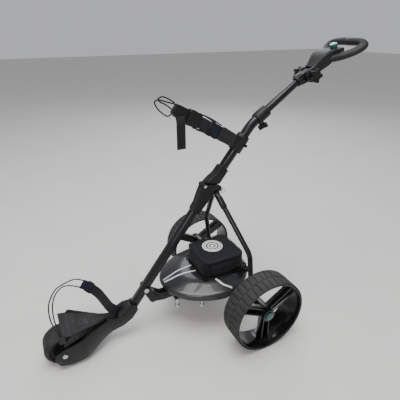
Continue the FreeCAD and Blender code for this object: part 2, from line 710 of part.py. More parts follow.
FORK_SIDE = ((-394, 140), (-388, 116), (-414, 84), (-446, 66), (-530, 48), (-560, 34), (-604, 16),
             (-645, 13), (-680, 22), (-692, 46), (-688, 70), (-660, 85), (-600, 100), (-560, 106),
             (-500, 104), (-446, 108), (-410, 136))


def fork_block(rise=0.0):
    """The fork's side outline across its full width."""
    half = size("fork_gap") / 2 + size("fork_arm")
    return side_plate(rounded([(y, z + rise) for y, z in FORK_SIDE], 14), -half, 2 * half)


def make_fork():
    gap = size("fork_gap") / 2
    half = gap + size("fork_arm")
    bolt_z = size("front_wheel_radius")
    wheel_y = size("front_wheel_y")
    plan = padded(rounded([(24, -360), (24, -492), (half, -588), (half, -670), (half - 9, -720),
                           (9 - half, -720), (-half, -670), (-half, -588), (-24, -492),
                           (-24, -360)], 16), 200, spot(0, 0, 0), role="XY_Plane")
    body = doc.addObject("Part::MultiCommon", "fork_body")
    body.Shapes = [fork_block(), plan]
    wheel_room = fuse(box((-gap, gap), (-760, -600), (-1, 200)),
                      cross_rod(68, -gap, gap, wheel_y, bolt_z + 2))
    side = size("main_tube_side")
    socket_start = along(PIVOT, MAIN_SLOPE, -76)
    socket = padded(rounded([(-side / 2, -side / 2), (side / 2, -side / 2), (side / 2, side / 2),
                             (-side / 2, side / 2)], size("main_tube_corner")), 120,
                    spot(0, *socket_start), role="XY_Plane", turn=lean(MAIN_SLOPE))
    bolt_hole = cross_rod("dims.front_bolt_radius", -90, 90, wheel_y, bolt_z)
    lug = side_plate(rounded([(-408, 122), (-424, 96), (-466, 98), (-461, 126), (-436, 138),
                              (-412, 138)], 5), -22, 44)
    strap_slot = shaped(lower_strap_band(1.0))
    keep(cut(fuse(cut(body, wheel_room), lug), socket, bolt_hole, strap_slot), "front_fork")
    keep(fuse(cross_rod("dims.front_bolt_radius", -half, half, wheel_y, bolt_z),
              cross_rod(8, half, half + 5, wheel_y, bolt_z),
              cross_rod(8, -half - 5, -half, wheel_y, bolt_z)), "front_axle_bolt")
    radius = size("front_wheel_radius")
    half = size("front_wheel_width") / 2
    hub = size("front_hub_radius")
    section = rounded([(hub, -half), (radius - 9, -half), (radius, -half + 14),
                       (radius, half - 14), (radius - 9, half), (hub, half)], 6)
    place = spot(0, wheel_y, radius)
    keep(turned(section, place, turn=FreeCAD.Rotation(V(0, 1, 0), 90)), "front_tyre")
    bore = size("front_bolt_radius") + GAP
    rim = hub - GAP
    hub_section = polygon([(bore, -43), (12, -43), (12, -30), (rim, -36), (rim, 36), (12, 30),
                           (12, 43), (bore, 43)])
    keep(turned(hub_section, place, turn=FreeCAD.Rotation(V(0, 1, 0), 90)), "front_hub")


# ---------------------------------------------------------------- lower bag support

STRAP_TILT = math.radians(size("strap_tilt"))
STRAP_START = (-440, 110)
STRAP_ACROSS = V(0, math.sin(STRAP_TILT), math.cos(STRAP_TILT))


def strap_point(x, forward, up=0.0):
    """A point of the lower strap's plane, which leans forward over the front wheel."""
    return (x, STRAP_START[0] - forward * math.cos(STRAP_TILT) + up * math.sin(STRAP_TILT),
            STRAP_START[1] + forward * math.sin(STRAP_TILT) + up * math.cos(STRAP_TILT))


def lower_strap_band(room=0.0):
    route = [strap_point(0, 8 - room), strap_point(0, 50), strap_point(-88, 80),
             strap_point(-117, 116), strap_point(-123, 139)]
    width = size("webbing_width") + 2 * room
    return strap(route, STRAP_ACROSS * width, size("webbing_thickness") + 2 * room, 24)


def cradle_wing(foot, tip, low, high):
    """An upright wall between two plan points, with a lip along its top and bottom edges."""
    run = V(tip[0] - foot[0], tip[1] - foot[1], 0)
    across = V(run.y, -run.x, 0).normalize()
    if across.x * foot[0] < 0:
        across = -across
    start = V(*foot, 0)

    def wall(bottom, top, thickness, offset):
        corners = [start + Z_AXIS * bottom[0], start + Z_AXIS * top[0],
                   start + run + Z_AXIS * top[1], start + run + Z_AXIS * bottom[1]]
        face = Part.Face(Part.makePolygon(corners + [corners[0]]))
        face.translate(across * offset)
        return face.extrude(across * thickness)

    middle = wall(low, high, 3.5, -1.75)
    upper_lip = wall([z - 3 for z in high], high, 5.5, -1.75)
    lower_lip = wall(low, [z + 3 for z in low], 5.5, -1.75)
    return middle.fuse(upper_lip).fuse(lower_lip)


def make_lower_support():
    plan = padded(polygon([(11, -500), (11, -512), (60, -622), (60, -657), (-60, -657),
                           (-60, -622), (-11, -512), (-11, -500)]), 200, spot(0, 0, 0),
                  role="XY_Plane")
    slab = side_plate([Part.LineSegment(V(*a, 0), V(*b, 0)) for a, b in (
        ((-500, 113), (-500, 118)), ((-500, 118), (-560, 126)), ((-560, 126), (-610, 133)),
        ((-610, 133), (-657, 143)), ((-657, 143), (-657, 137)), ((-657, 137), (-610, 128)),
        ((-610, 128), (-560, 121)), ((-560, 121), (-500, 113)))], -60, 120)
    floor = doc.addObject("Part::MultiCommon", "floor")
    floor.Shapes = [slab, plan]
    foot = box((-9, 9), (-540, -504), (100, 119))
    wings = []
    for sign in (1, -1):
        inner = (sign * 11, -510)
        corner = (sign * 60, -622)
        wings.append(shaped(cradle_wing(inner, corner, (96, 112), (114, 144))))
        wings.append(shaped(cradle_wing(corner, (sign * 60, -657), (112, 98), (144, 108))))
    catch = box((50, 64), (-668, -648), (116, 150))
    trim = fork_block(0.4)
    pad_foot = [(-565.94, 126.33), (-603.57, 131.6), (-603.4, 133.29), (-565.77, 128.02)]
    pad = side_plate([Part.LineSegment(V(*a, 0), V(*b, 0))
                      for a, b in zip(pad_foot, pad_foot[1:] + pad_foot[:1])], -24, 48)
    keep(cut(fuse(floor, foot, catch, pad, *wings), trim), "lower_cradle")
    keep(shaped(lower_strap_band()), "lower_strap")
    cords = ([strap_point(-123.3, 140.2, -15), (-115, -594, 202), (-95, -622, 221),
              (-55, -649, 227), (-10, -664, 221), (30, -668, 196), (54, -662, 168),
              (56, -660, 153.5)],
             [strap_point(-123.3, 140.2, 15), (-112, -574, 226), (-92, -610, 236),
              (-60, -646, 243), (-15, -672, 233), (20, -679, 214), (46, -675, 188),
              (61, -664, 160), (60, -655, 153.5)])
    keep(shaped(Part.makeCompound([swept(c, size("bungee_radius")) for c in cords])),
         "lower_bungee_cords")


# ---------------------------------------------------------------- upper mast

CRADLE_SLOPE = 180 - 30.5
MAST_BLOCK = casing_point(179, 0)


def cradle_point(forward, up):
    """(y, z) along the upper bag support, forward from the mast block."""
    return along(MAST_BLOCK, CRADLE_SLOPE, forward, -up)


def make_mast():
    half = size("casing_half")
    outline = [(-3.2, 33.6), (25, 26), (46, 19.5), (80, 18.5), (80, -18.5), (22.6, -19)]
    edges = rounded([casing_point(u, v) for u, v in outline], 4)
    shell = soften(side_plate(edges, -half, 2 * half), 6, half, -half)
    web = side_plate(capsule(HINGE, 8, casing_point(6, 24), 8), 0.3 - KNUCKLE_X,
                     2 * KNUCKLE_X - 0.6)
    notch = [cross_rod(8.6, *x_range, *HINGE) for x_range in ((9.9, 24), (-24, -9.9))]
    pin_hole = cross_rod(size("hinge_pin_radius") + GAP, -30, 30, *HINGE)
    tube_from = casing_point(35, 0)
    tube_hole = rod("dims.mast_radius", 120, spot(0, *tube_from), slope_vector(SLOPE))
    keep(cut(fuse(cut(shell, *notch), web), pin_hole, tube_hole), "mast_socket")
    tube_end = along(SHAFT_TOP, SHAFT_SLOPE, -4)
    route = [(0, *tube_from), (0, *MAST_BEND), (0, *tube_end)]
    outer = swept(route, size("mast_radius"), size("mast_bend"))
    inner_route = [(0, *casing_point(34.5, 0)), (0, *MAST_BEND),
                   (0, *along(SHAFT_TOP, SHAFT_SLOPE, -3.5))]
    keep(shaped(outer.cut(swept(inner_route, size("mast_bore"), size("mast_bend")))), "upper_tube")

    shaft_line = slope_vector(SHAFT_SLOPE)
    collar_from = along(SHAFT_TOP, SHAFT_SLOPE, -49)
    collar = rod("dims.collar_radius", 51, spot(0, *collar_from), shaft_line)
    boss_line = slope_vector(SHAFT_SLOPE - 90)
    boss_from = along(SHAFT_TOP, SHAFT_SLOPE, -38)
    boss = rod(9, 29, spot(0, *boss_from), boss_line)
    tube_room = shaped(outer)
    shaft_room = rod("dims.mast_bore", 60, spot(0, *along(SHAFT_TOP, SHAFT_SLOPE, -30)), shaft_line)
    screw_room = rod(size("screw_radius") + GAP, 60, spot(0, *boss_from), boss_line)
    keep(cut(fuse(collar, boss), tube_room, shaft_room, screw_room), "height_collar")
    knob_from = along(SHAFT_TOP, SHAFT_SLOPE, -38, -29.6)
    screw = rod("dims.screw_radius", 12, spot(0, *along(SHAFT_TOP, SHAFT_SLOPE, -38, -17.6)),
                boss_line)
    keep(fuse(screw, lobed_knob(spot(0, *knob_from), boss_line, 3, "knob_core", "knob_height")),
         "height_knob")


def lobed_knob(start, direction, lobes, core_name, height_name):
    """A hand knob: a round core with lobes round it."""
    core = rod(f"dims.{core_name}", f"dims.{height_name}", start, direction)
    turn = FreeCAD.Rotation(Z_AXIS, direction)
    reach = size(core_name) + 1.5
    fingers = []
    for number in range(lobes):
        angle = 2 * math.pi * number / lobes + math.pi / 2
        offset = turn.multVec(V(math.cos(angle), math.sin(angle), 0) * reach)
        fingers.append(rod("dims.knob_lobe", f"dims.{height_name}", start + offset, direction))
    return fuse(core, *fingers)


def make_upper_support():
    """Clamp block on the mast, cradle, near and far straps, clips and elastic loops."""
    line = slope_vector(SLOPE)
    start = along(MAST_BLOCK, SLOPE, -30)
    barrel = rod(24, 57, spot(0, *start), line)
    arm = side_plate(rounded([cradle_point(8, 24), cradle_point(44, 21), cradle_point(44, -22),
                              cradle_point(8, -25)], 4), -20, 40)
    tube_room = rod("dims.mast_radius", 80, spot(0, *along(MAST_BLOCK, SLOPE, -40)), line)
    ring = rod(22.5, 7, spot(0, *along(MAST_BLOCK, SLOPE, 26)), line)
    bolt_y, bolt_z = along(MAST_BLOCK, SLOPE, 4, -15)
    bolt = cross_rod(5, 15, 27, bolt_y, bolt_z)
    keep(cut(fuse(barrel, arm, ring, bolt), tube_room), "mast_clamp")
    cradle = side_plate(rounded([cradle_point(44.1, 21), cradle_point(104, 24),
                                 cradle_point(110, 20), cradle_point(110, -20),
                                 cradle_point(104, -24), cradle_point(44.1, -22)], 3), -34, 68)
    mouth = side_plate(rounded([cradle_point(70, 40), cradle_point(140, 40),
                                cradle_point(140, -40), cradle_point(70, -40)], 4), -24, 48)
    keep(cut(cradle, mouth), "upper_cradle")
    wide_slope = CRADLE_SLOPE - 90
    wide = slope_vector(wide_slope) * size("webbing_width")
    straps = []
    for sign in (1, -1):
        points = [(sign * 26, *cradle_point(111, 0)), (sign * 24, *cradle_point(150, 0)),
                  (sign * 13, *cradle_point(186, 0))]
        straps.append(shaped(strap(points, wide, size("webbing_thickness"), 80)))
    rear_clip = side_plate(rounded([cradle_point(186.5, 24), cradle_point(226, 26),
                                    cradle_point(232, 14), cradle_point(232, -22),
                                    cradle_point(224, -27), cradle_point(186.5, -22)], 6), -15, 30)
    front_clip = side_plate(rounded([cradle_point(232.5, 20), cradle_point(280, 18),
                                     cradle_point(284, -14), cradle_point(270, -22),
                                     cradle_point(232.5, -22)], 5), -11, 22)
    keep(group(rear_clip, front_clip), "strap_clips")
    near_loop = [(8, *cradle_point(284.8, -12)), (8, -234, 804), (8, -253, 815), (8, -268, 831),
                 (8, -275, 849), (8, -263, 855), (8, -241, 848), (8, *cradle_point(284.8, 14))]
    far_loop = [(-8, *cradle_point(284.8, -4)), (-8, -235, 836), (-8, -251, 845), (-8, -258, 854),
                (-8, -244, 860), (-8, -226, 853), (-8, *cradle_point(284.8, 17))]
    loops = [swept(route, size("bungee_radius")) for route in (near_loop, far_loop)]
    for sign in (1, -1):
        for up in (23.5, -24.5):
            x = sign * 20
            route = [(x, *cradle_point(111, up)), (x, *cradle_point(150, up + 3)),
                     (sign * 14, *cradle_point(186, up + (2 if up > 0 else -1)))]
            loops.append(swept(route, size("bungee_radius")))
    keep(shaped(Part.makeCompound(loops)), "upper_bungee_cords")
    tail_y, tail_z = cradle_point(259, -12)
    tail_route = [(12.7, tail_y, tail_z), (20, tail_y, tail_z - 16), (20, tail_y, 697)]
    tail = shaped(strap(tail_route, V(0, 30, 0), size("webbing_thickness"), 20))
    keep(group(*straps, tail), "upper_straps")


# ---------------------------------------------------------------- handle

LOOP_SLOPE = size("loop_slope")
LOOP_HALF = ((34, 490, 1000), (62, 490, 996.5), (76, 482, 989), (73, 465, 977), (62, 449, 967),
             (50, 431, 958.5), (38, 409, 951), (27, 385, 946), (14, 371, 942))
DIAL_FOOT = (425.3, 973.7)


def loop_grip():
    """The closed hand loop: an oval section taken round a drop-shaped path."""
    half = [V(*p) for p in LOOP_HALF]
    rear = V(0, 490, 1000)
    ring = [rear] + half + [V(0, 367, 941)] + [V(-p.x, p.y, p.z) for p in reversed(half)]
    spline = Part.BSplineCurve()
    spline.interpolate(Points=ring, PeriodicFlag=True)
    wide = slope_vector(LOOP_SLOPE) * size("grip_half_width")
    tall = slope_vector(LOOP_SLOPE + 90) * size("grip_half_height")
    oval = Part.Ellipse(rear + wide, rear + tall, rear)
    shell = Part.BRepOffsetAPI.MakePipeShell(Part.Wire([spline.toShape()]))
    shell.setBiNormalMode(slope_vector(LOOP_SLOPE + 90))
    shell.add(Part.Wire([oval.toShape()]))
    shell.build()
    shell.makeSolid()
    return shell.shape()


def neck_section(top, bottom, half_width):
    """A rounded rectangle across the trolley between two places of the side view."""
    rise = V(0, top[0] - bottom[0], top[1] - bottom[1])
    half_height = rise.Length / 2
    edges = [edge.toShape() for edge in rounded([(-half_width, -half_height),
                                                 (half_width, -half_height),
                                                 (half_width, half_height),
                                                 (-half_width, half_height)], 10)]
    wire = Part.Wire(edges)
    turn = FreeCAD.Rotation(X_AXIS, rise, X_AXIS.cross(rise), "XYZ")
    wire.Placement = FreeCAD.Placement(V(0, (top[0] + bottom[0]) / 2, (top[1] + bottom[1]) / 2),
                                       turn)
    return wire


def make_handle():
    shaft_from = along(SHAFT_TOP, SHAFT_SLOPE, -30)
    shaft_line = slope_vector(SHAFT_SLOPE)
    keep(cut(rod("dims.shaft_radius", "dims.shaft_length", spot(0, *shaft_from), shaft_line),
             rod("dims.shaft_radius - dims.shaft_wall", 230,
                 spot(0, *along(SHAFT_TOP, SHAFT_SLOPE, -31)), shaft_line)), "handle_shaft")
    bracket = fuse(rod(18.5, 26, spot(0, *along(SHAFT_TOP, SHAFT_SLOPE, 151)), shaft_line),
                   side_plate(capsule(along(SHAFT_TOP, SHAFT_SLOPE, 166), 17, TILT, 20),
                              -14.5, 29))
    shaft_room = rod("dims.shaft_radius", 40, spot(0, *along(SHAFT_TOP, SHAFT_SLOPE, 136)), shaft_line)
    bolt_room = cross_rod("dims.tilt_bolt_radius", -40, 40, *TILT)
    keep(cut(bracket, shaft_room, bolt_room), "tilt_bracket")
    keep(cross_rod("dims.tilt_bolt_radius", -44, 44, *TILT), "tilt_bolt")
    for sign, name in ((1, "left"), (-1, "right")):
        axis = V(sign, 0, 0)
        knob = fuse(lobed_knob(spot(sign * 34, *TILT), axis, 5, "tilt_knob_core",
                               "tilt_knob_height"),
                    rod(13, 7, spot(sign * 27.4, *TILT), axis))
        bore = cross_rod(size("tilt_bolt_radius") + GAP, *sorted((sign * 27, sign * 44.5)), *TILT)
        keep(cut(knob, bore), f"tilt_knob_{name}")

    grip = loop_grip()
    keep(shaped(grip), "handle_grip")
    neck = Part.makeLoft([neck_section((303, 911), (333, 887), 27),
                          neck_section((332, 943), (358, 908), 28),
                          neck_section((362, 969), (384, 928), 38),
                          neck_section((388, 974), (396, 938), 33)], True)
    for x in (14.8, -27):
        neck = neck.fuse(Part.makeCylinder(24, 12.2, V(x, *TILT), X_AXIS))
    gap = Part.makeCylinder(27, 29.6, V(-14.8, *TILT), X_AXIS)
    hole = Part.makeCylinder(size("tilt_bolt_radius") + GAP, 80, V(-40, *TILT), X_AXIS)
    dial_line = slope_vector(LOOP_SLOPE + 90)
    console_side = rounded([(368, 941), (388, 974), (448, 982), (456, 972), (448, 958), (420, 944),
                            (392, 936)], 5)
    console_wire = Part.Wire([edge.toShape() for edge in console_side])
    console_wire.Placement = FreeCAD.Placement(V(-34, 0, 0), FreeCAD.Rotation(V(1, 1, 1), 120))
    console = Part.Face(console_wire).extrude(V(68, 0, 0))
    console_plan = rounded([(-34, 360), (34, 360), (33, 396), (29, 432), (20, 457), (-20, 457),
                            (-29, 432), (-33, 396)], 7)
    plan_wire = Part.Wire([edge.toShape() for edge in console_plan])
    console = console.common(Part.Face(plan_wire).extrude(V(0, 0, 1100)))
    dial_room = Part.makeCylinder(size("dial_radius") + 0.3, 30, V(0, *along(
        DIAL_FOOT, LOOP_SLOPE + 90, -0.3)), dial_line)
    neck = neck.cut(gap).fuse(console).cut(hole).cut(grip).cut(dial_room)
    neck = max(neck.Solids, key=lambda solid: solid.Volume)
    keep(shaped(neck), "handle_body")
    dial = rod("dims.dial_radius", 21, spot(0, *DIAL_FOOT), dial_line)
    button_room = rod(size("button_radius") + GAP, 20,
                      spot(0, *along(DIAL_FOOT, LOOP_SLOPE + 90, 16)), dial_line)
    keep(cut(dial, button_room), "speed_dial")
    keep(rod("dims.button_radius", 6, spot(0, *along(DIAL_FOOT, LOOP_SLOPE + 90, 18)), dial_line),
         "power_button")


make_rear_wheels()
make_drive()
make_chassis()
make_dish()
make_battery()
make_struts()
make_main_frame()
make_fork()
make_lower_support()
make_mast()
make_upper_support()
make_handle()
doc.recompute()

for obj in doc.Objects:
    if "Invalid" in obj.State or "Error" in obj.State:
        raise RuntimeError(f"{obj.Label} failed: {obj.State}")
os.makedirs("parts", exist_ok=True)
for obj in SUBPARTS:
    shape = obj.Shape
    if shape.isNull() or not shape.isValid() or not shape.Solids:
        raise RuntimeError(f"{obj.Label} has no valid solid")
    shape.exportStep(f"parts/{obj.Label}.step")
    print(f"{obj.Label:28s} solids {len(shape.Solids)}  volume {shape.Volume / 1000:9.2f} cm3")
bounds = FreeCAD.BoundBox()
for obj in SUBPARTS:
    bounds.add(obj.Shape.BoundBox)
print(len(SUBPARTS), "sub-parts", bounds)
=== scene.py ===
import json
import math

import bmesh
import bpy
import numpy as np
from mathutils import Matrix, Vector
from mathutils.bvhtree import BVHTree


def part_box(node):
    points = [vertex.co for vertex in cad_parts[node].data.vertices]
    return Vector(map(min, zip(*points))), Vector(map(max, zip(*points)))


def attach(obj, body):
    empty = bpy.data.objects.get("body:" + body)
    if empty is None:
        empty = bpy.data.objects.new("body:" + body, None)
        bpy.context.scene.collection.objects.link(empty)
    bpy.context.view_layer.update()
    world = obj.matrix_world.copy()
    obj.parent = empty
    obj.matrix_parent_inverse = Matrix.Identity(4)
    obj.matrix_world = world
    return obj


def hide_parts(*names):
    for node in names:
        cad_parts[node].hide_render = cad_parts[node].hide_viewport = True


bpy.ops.wm.read_factory_settings(use_empty=True)
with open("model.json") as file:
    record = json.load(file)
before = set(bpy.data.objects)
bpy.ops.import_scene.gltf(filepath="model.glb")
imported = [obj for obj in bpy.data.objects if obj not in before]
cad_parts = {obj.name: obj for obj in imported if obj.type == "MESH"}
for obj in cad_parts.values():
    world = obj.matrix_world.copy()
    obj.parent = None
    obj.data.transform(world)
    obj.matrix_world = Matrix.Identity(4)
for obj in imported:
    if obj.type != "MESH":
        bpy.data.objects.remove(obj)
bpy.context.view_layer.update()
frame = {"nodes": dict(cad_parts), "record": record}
nodes = frame["nodes"]
AXLE_Y = 0.1075          # the rear axle's place along Y in the row frame, in metres
HALF_TRACK = 257         # mm from the middle to each rear wheel's centre
WHEEL_RADIUS = 140       # mm, rear wheels
WEB_WIDTH = 38           # mm, the straps' webbing
WEB_THICKNESS = 2.6      # mm
ELASTIC_RADIUS = 2.2     # mm, all the elastic cords
LEAD_RADIUS = 3          # mm
UPPER_SLOPE = 149.5      # degrees, the upper bag support's slope


def place(x, y, z):
    """A point given in mm from the ground below the rear axle, in metres in the row frame."""
    return Vector((x / 1000, y / 1000 + AXLE_Y, z / 1000))


# ---------------------------------------------------------------- materials

def new_material(name, color, rough, metallic=0.0, coat=0.0, specular=0.5):
    """A material with one principled shader, its node tree and that shader."""
    mat = bpy.data.materials.new(name)
    mat.use_nodes = True
    tree = mat.node_tree
    bsdf = tree.nodes["Principled BSDF"]
    bsdf.inputs["Base Color"].default_value = (*color, 1)
    bsdf.inputs["Roughness"].default_value = rough
    bsdf.inputs["Metallic"].default_value = metallic
    bsdf.inputs["Coat Weight"].default_value = coat
    bsdf.inputs["Specular IOR Level"].default_value = specular
    return mat, tree, bsdf


def add(tree, kind, **inputs):
    """A node of a kind, with the values of its named inputs."""
    node = tree.nodes.new(kind)
    for key, value in inputs.items():
        node.inputs[key.replace("_", " ")].default_value = value
    return node


def object_coords(tree, scale=(1, 1, 1)):
    """The object's own coordinates, scaled, for a texture to follow."""
    coords = tree.nodes.new("ShaderNodeTexCoord")
    mapping = tree.nodes.new("ShaderNodeMapping")
    mapping.inputs["Scale"].default_value = scale
    tree.links.new(coords.outputs["Object"], mapping.inputs["Vector"])
    return mapping.outputs["Vector"]


def mottled(tree, bsdf, vector, color, spread, scale, rough, rough_spread):
    """Colour and roughness drift with a soft noise, as on handled and dusty surfaces."""
    noise = add(tree, "ShaderNodeTexNoise", Scale=scale, Detail=5.0, Roughness=0.6)
    tree.links.new(vector, noise.inputs["Vector"])
    ramp = tree.nodes.new("ShaderNodeValToRGB")
    low = tuple(max(0.0, c * (1 - spread)) for c in color)
    high = tuple(min(1.0, c * (1 + spread)) for c in color)
    ramp.color_ramp.elements[0].position = 0.3
    ramp.color_ramp.elements[0].color = (*low, 1)
    ramp.color_ramp.elements[1].position = 0.72
    ramp.color_ramp.elements[1].color = (*high, 1)
    tree.links.new(noise.outputs["Fac"], ramp.inputs["Fac"])
    tree.links.new(ramp.outputs["Color"], bsdf.inputs["Base Color"])
    spread_map = add(tree, "ShaderNodeMapRange")
    spread_map.inputs["To Min"].default_value = rough - rough_spread
    spread_map.inputs["To Max"].default_value = rough + rough_spread
    tree.links.new(noise.outputs["Fac"], spread_map.inputs["Value"])
    tree.links.new(spread_map.outputs["Result"], bsdf.inputs["Roughness"])


def bump_from(tree, bsdf, height, strength, distance):
    """Bends the shader's normals by a height. distance is in metres."""
    bump = add(tree, "ShaderNodeBump", Strength=strength, Distance=distance)
    tree.links.new(height, bump.inputs["Height"])
    tree.links.new(bump.outputs["Normal"], bsdf.inputs["Normal"])


def plastic(name, color, rough, grain=900.0, bump=0.12, spread=0.25, coat=0.0, metallic=0.0,
            drift=0.07, specular=0.28):
    """Moulded or painted skin with a fine grain."""
    mat, tree, bsdf = new_material(name, color, rough, metallic, coat, specular)
    vector = object_coords(tree)
    mottled(tree, bsdf, vector, color, spread, 14.0, rough, drift)
    fine = add(tree, "ShaderNodeTexNoise", Scale=grain, Detail=2.0)
    tree.links.new(vector, fine.inputs["Vector"])
    bump_from(tree, bsdf, fine.outputs["Fac"], bump, 0.0004)
    return mat


def ribbed(name, color, rough):
    """Plastic with fine moulded ribs that cross each other."""
    mat, tree, bsdf = new_material(name, color, rough, specular=0.38)
    vector = object_coords(tree)
    mottled(tree, bsdf, vector, color, 0.3, 14.0, rough, 0.07)
    waves = []
    for direction in ("Z", "DIAGONAL"):
        wave = add(tree, "ShaderNodeTexWave", Scale=78.0, Distortion=0.0)
        wave.bands_direction = direction
        tree.links.new(vector, wave.inputs["Vector"])
        waves.append(wave)
    both = tree.nodes.new("ShaderNodeMath")
    both.operation = "MINIMUM"
    tree.links.new(waves[0].outputs["Fac"], both.inputs[0])
    tree.links.new(waves[1].outputs["Fac"], both.inputs[1])
    bump_from(tree, bsdf, both.outputs["Value"], 0.75, 0.0012)
    return mat


def brushed(name, color, rough):
    """Bare metal, with its noise drawn out along one direction."""
    mat, tree, bsdf = new_material(name, color, rough, 1.0)
    vector = object_coords(tree, (1, 1, 30))
    mottled(tree, bsdf, vector, color, 0.12, 160.0, rough, 0.08)
    fine = add(tree, "ShaderNodeTexNoise", Scale=420.0, Detail=3.0)
    tree.links.new(vector, fine.inputs["Vector"])
    bump_from(tree, bsdf, fine.outputs["Fac"], 0.08, 0.0002)
    return mat


def woven(name, color, thread, rough=0.85, spread=0.3, strength=0.6):
    """Cloth: crossed sets of threads along the three axes, with a fuzzy sheen."""
    mat, tree, bsdf = new_material(name, color, rough, specular=0.25)
    bsdf.inputs["Sheen Weight"].default_value = 0.04
    bsdf.inputs["Sheen Roughness"].default_value = 0.5
    vector = object_coords(tree)
    mottled(tree, bsdf, vector, color, spread, 22.0, rough, 0.06)
    threads = []
    for direction in ("X", "Y", "Z"):
        wave = add(tree, "ShaderNodeTexWave", Scale=thread, Distortion=0.6, Detail=1.0)
        wave.bands_direction = direction
        if direction != "Z":
            wave.inputs["Detail Scale"].default_value = 2.0
        tree.links.new(vector, wave.inputs["Vector"])
        threads.append(wave)
    first = tree.nodes.new("ShaderNodeMath")
    first.operation = "MAXIMUM"
    tree.links.new(threads[0].outputs["Fac"], first.inputs[0])
    tree.links.new(threads[1].outputs["Fac"], first.inputs[1])
    second = tree.nodes.new("ShaderNodeMath")
    second.operation = "MULTIPLY"
    tree.links.new(first.outputs["Value"], second.inputs[0])
    tree.links.new(threads[2].outputs["Fac"], second.inputs[1])
    bump_from(tree, bsdf, second.outputs["Value"], strength, 0.0005)
    return mat


def braided(name, color):
    """The sheath of a cord, with slanting ribs."""
    mat, tree, bsdf = new_material(name, color, 0.75, specular=0.3)
    bsdf.inputs["Sheen Weight"].default_value = 0.06
    vector = object_coords(tree)
    mottled(tree, bsdf, vector, color, 0.4, 60.0, 0.75, 0.08)
    wave = add(tree, "ShaderNodeTexWave", Scale=260.0, Distortion=2.0, Detail=1.0)
    wave.bands_direction = "DIAGONAL"
    tree.links.new(vector, wave.inputs["Vector"])
    bump_from(tree, bsdf, wave.outputs["Fac"], 0.5, 0.0004)
    return mat


MATS = {
    "tyre_rubber": plastic("tyre rubber", (0.026, 0.0255, 0.025), 0.70, 500.0, 0.4, 0.5),
    "rim_plastic": plastic("rim gloss", (0.005, 0.005, 0.0055), 0.24, 240.0, 0.04, 0.2, coat=0.3),
    "teal_plastic": plastic("teal cap", (0.004, 0.075, 0.062), 0.16, 300.0, 0.03, 0.3, coat=0.6),
    "black_paint": plastic("black paint", (0.005, 0.0055, 0.007), 0.30, 1400.0, 0.08, 0.2,
                           coat=0.12),
    "black_plastic": plastic("black plastic", (0.007, 0.0072, 0.008), 0.46, 1100.0, 0.2, 0.3),
    "dish_plastic": plastic("dish", (0.013, 0.0135, 0.0145), 0.30, 1600.0, 0.04, 0.06, coat=0.3,
                            drift=0.015, specular=0.4),
    "steel": brushed("steel", (0.55, 0.55, 0.55), 0.28),
    "silver": plastic("silver strip", (0.60, 0.61, 0.62), 0.30, 700.0, 0.05, 0.05, metallic=0.25),
    "bag_fabric": woven("bag cloth", (0.0045, 0.0048, 0.0065), 420.0),
    "badge": woven("badge", (0.74, 0.74, 0.73), 700.0, 0.7, 0.05, 0.25),
    "webbing": woven("webbing", (0.008, 0.008, 0.010), 260.0, 0.7, 0.3, 0.8),
    "cord": braided("cord", (0.006, 0.006, 0.0065)),
    "grip_rubber": plastic("grip", (0.013, 0.013, 0.014), 0.52, 700.0, 0.25, 0.2),
    "fork_plastic": plastic("fork", (0.0045, 0.0052, 0.006), 0.28, 500.0, 0.05, 0.3, coat=0.15),
    "button_plastic": plastic("button", (0.62, 0.74, 0.72), 0.18, 300.0, 0.03, 0.1, coat=0.5),
}
SLOT_OF = {s["node"]: s["material_slot"] for s in frame["record"]["subparts"]}


def smooth(obj, angle):
    """Shades an object smooth, apart from edges sharper than an angle in degrees."""
    for face in obj.data.polygons:
        face.use_smooth = True
    obj.data.update()
    with bpy.context.temp_override(object=obj, active_object=obj, selected_objects=[obj],
                                   selected_editable_objects=[obj]):
        bpy.ops.object.shade_auto_smooth(angle=math.radians(angle))


for name, obj in nodes.items():
    obj.data.materials.clear()
    obj.data.materials.append(MATS[SLOT_OF[name]])
for name in ("lower_cradle", "upper_cradle"):
    nodes[name].data.materials[0] = ribbed("ribbed plastic", (0.010, 0.010, 0.0105), 0.5)


# ---------------------------------------------------------------- places shared with the frame

def along(start, slope, distance, offset=0.0):
    """(y, z) in mm at a distance up a sloping line, and an offset to its front side."""
    angle = math.radians(slope)
    return (start[0] + distance * math.cos(angle) - offset * math.sin(angle),
            start[1] + distance * math.sin(angle) + offset * math.cos(angle))


MAST_START = (-79.4, 540)      # (y, z) in mm, where the mast's line starts
MAST_SLOPE = 51.5              # degrees
MAST_BLOCK = along(MAST_START, MAST_SLOPE, 179)    # the upper bag support's clamp
STRAP_TILT = math.radians(35)                      # the lower strap's plane


def cradle_point(x, forward, up=0.0):
    """A point on the upper bag support, in mm, forward from its clamp and above its line."""
    y, z = along(MAST_BLOCK, UPPER_SLOPE, forward, -up)
    return (x, y, z)


def strap_point(x, forward, up=0.0):
    """A point of the lower strap's tilted plane, in mm, forward from the fork's neck."""
    return (x, -440 - forward * math.cos(STRAP_TILT) + up * math.sin(STRAP_TILT),
            110 + forward * math.sin(STRAP_TILT) + up * math.cos(STRAP_TILT))


def slope_line(slope):
    """The direction up a slope in degrees, in the plane of the frame's middle."""
    angle = math.radians(slope)
    return Vector((0, math.cos(angle), math.sin(angle)))


# ---------------------------------------------------------------- building pieces

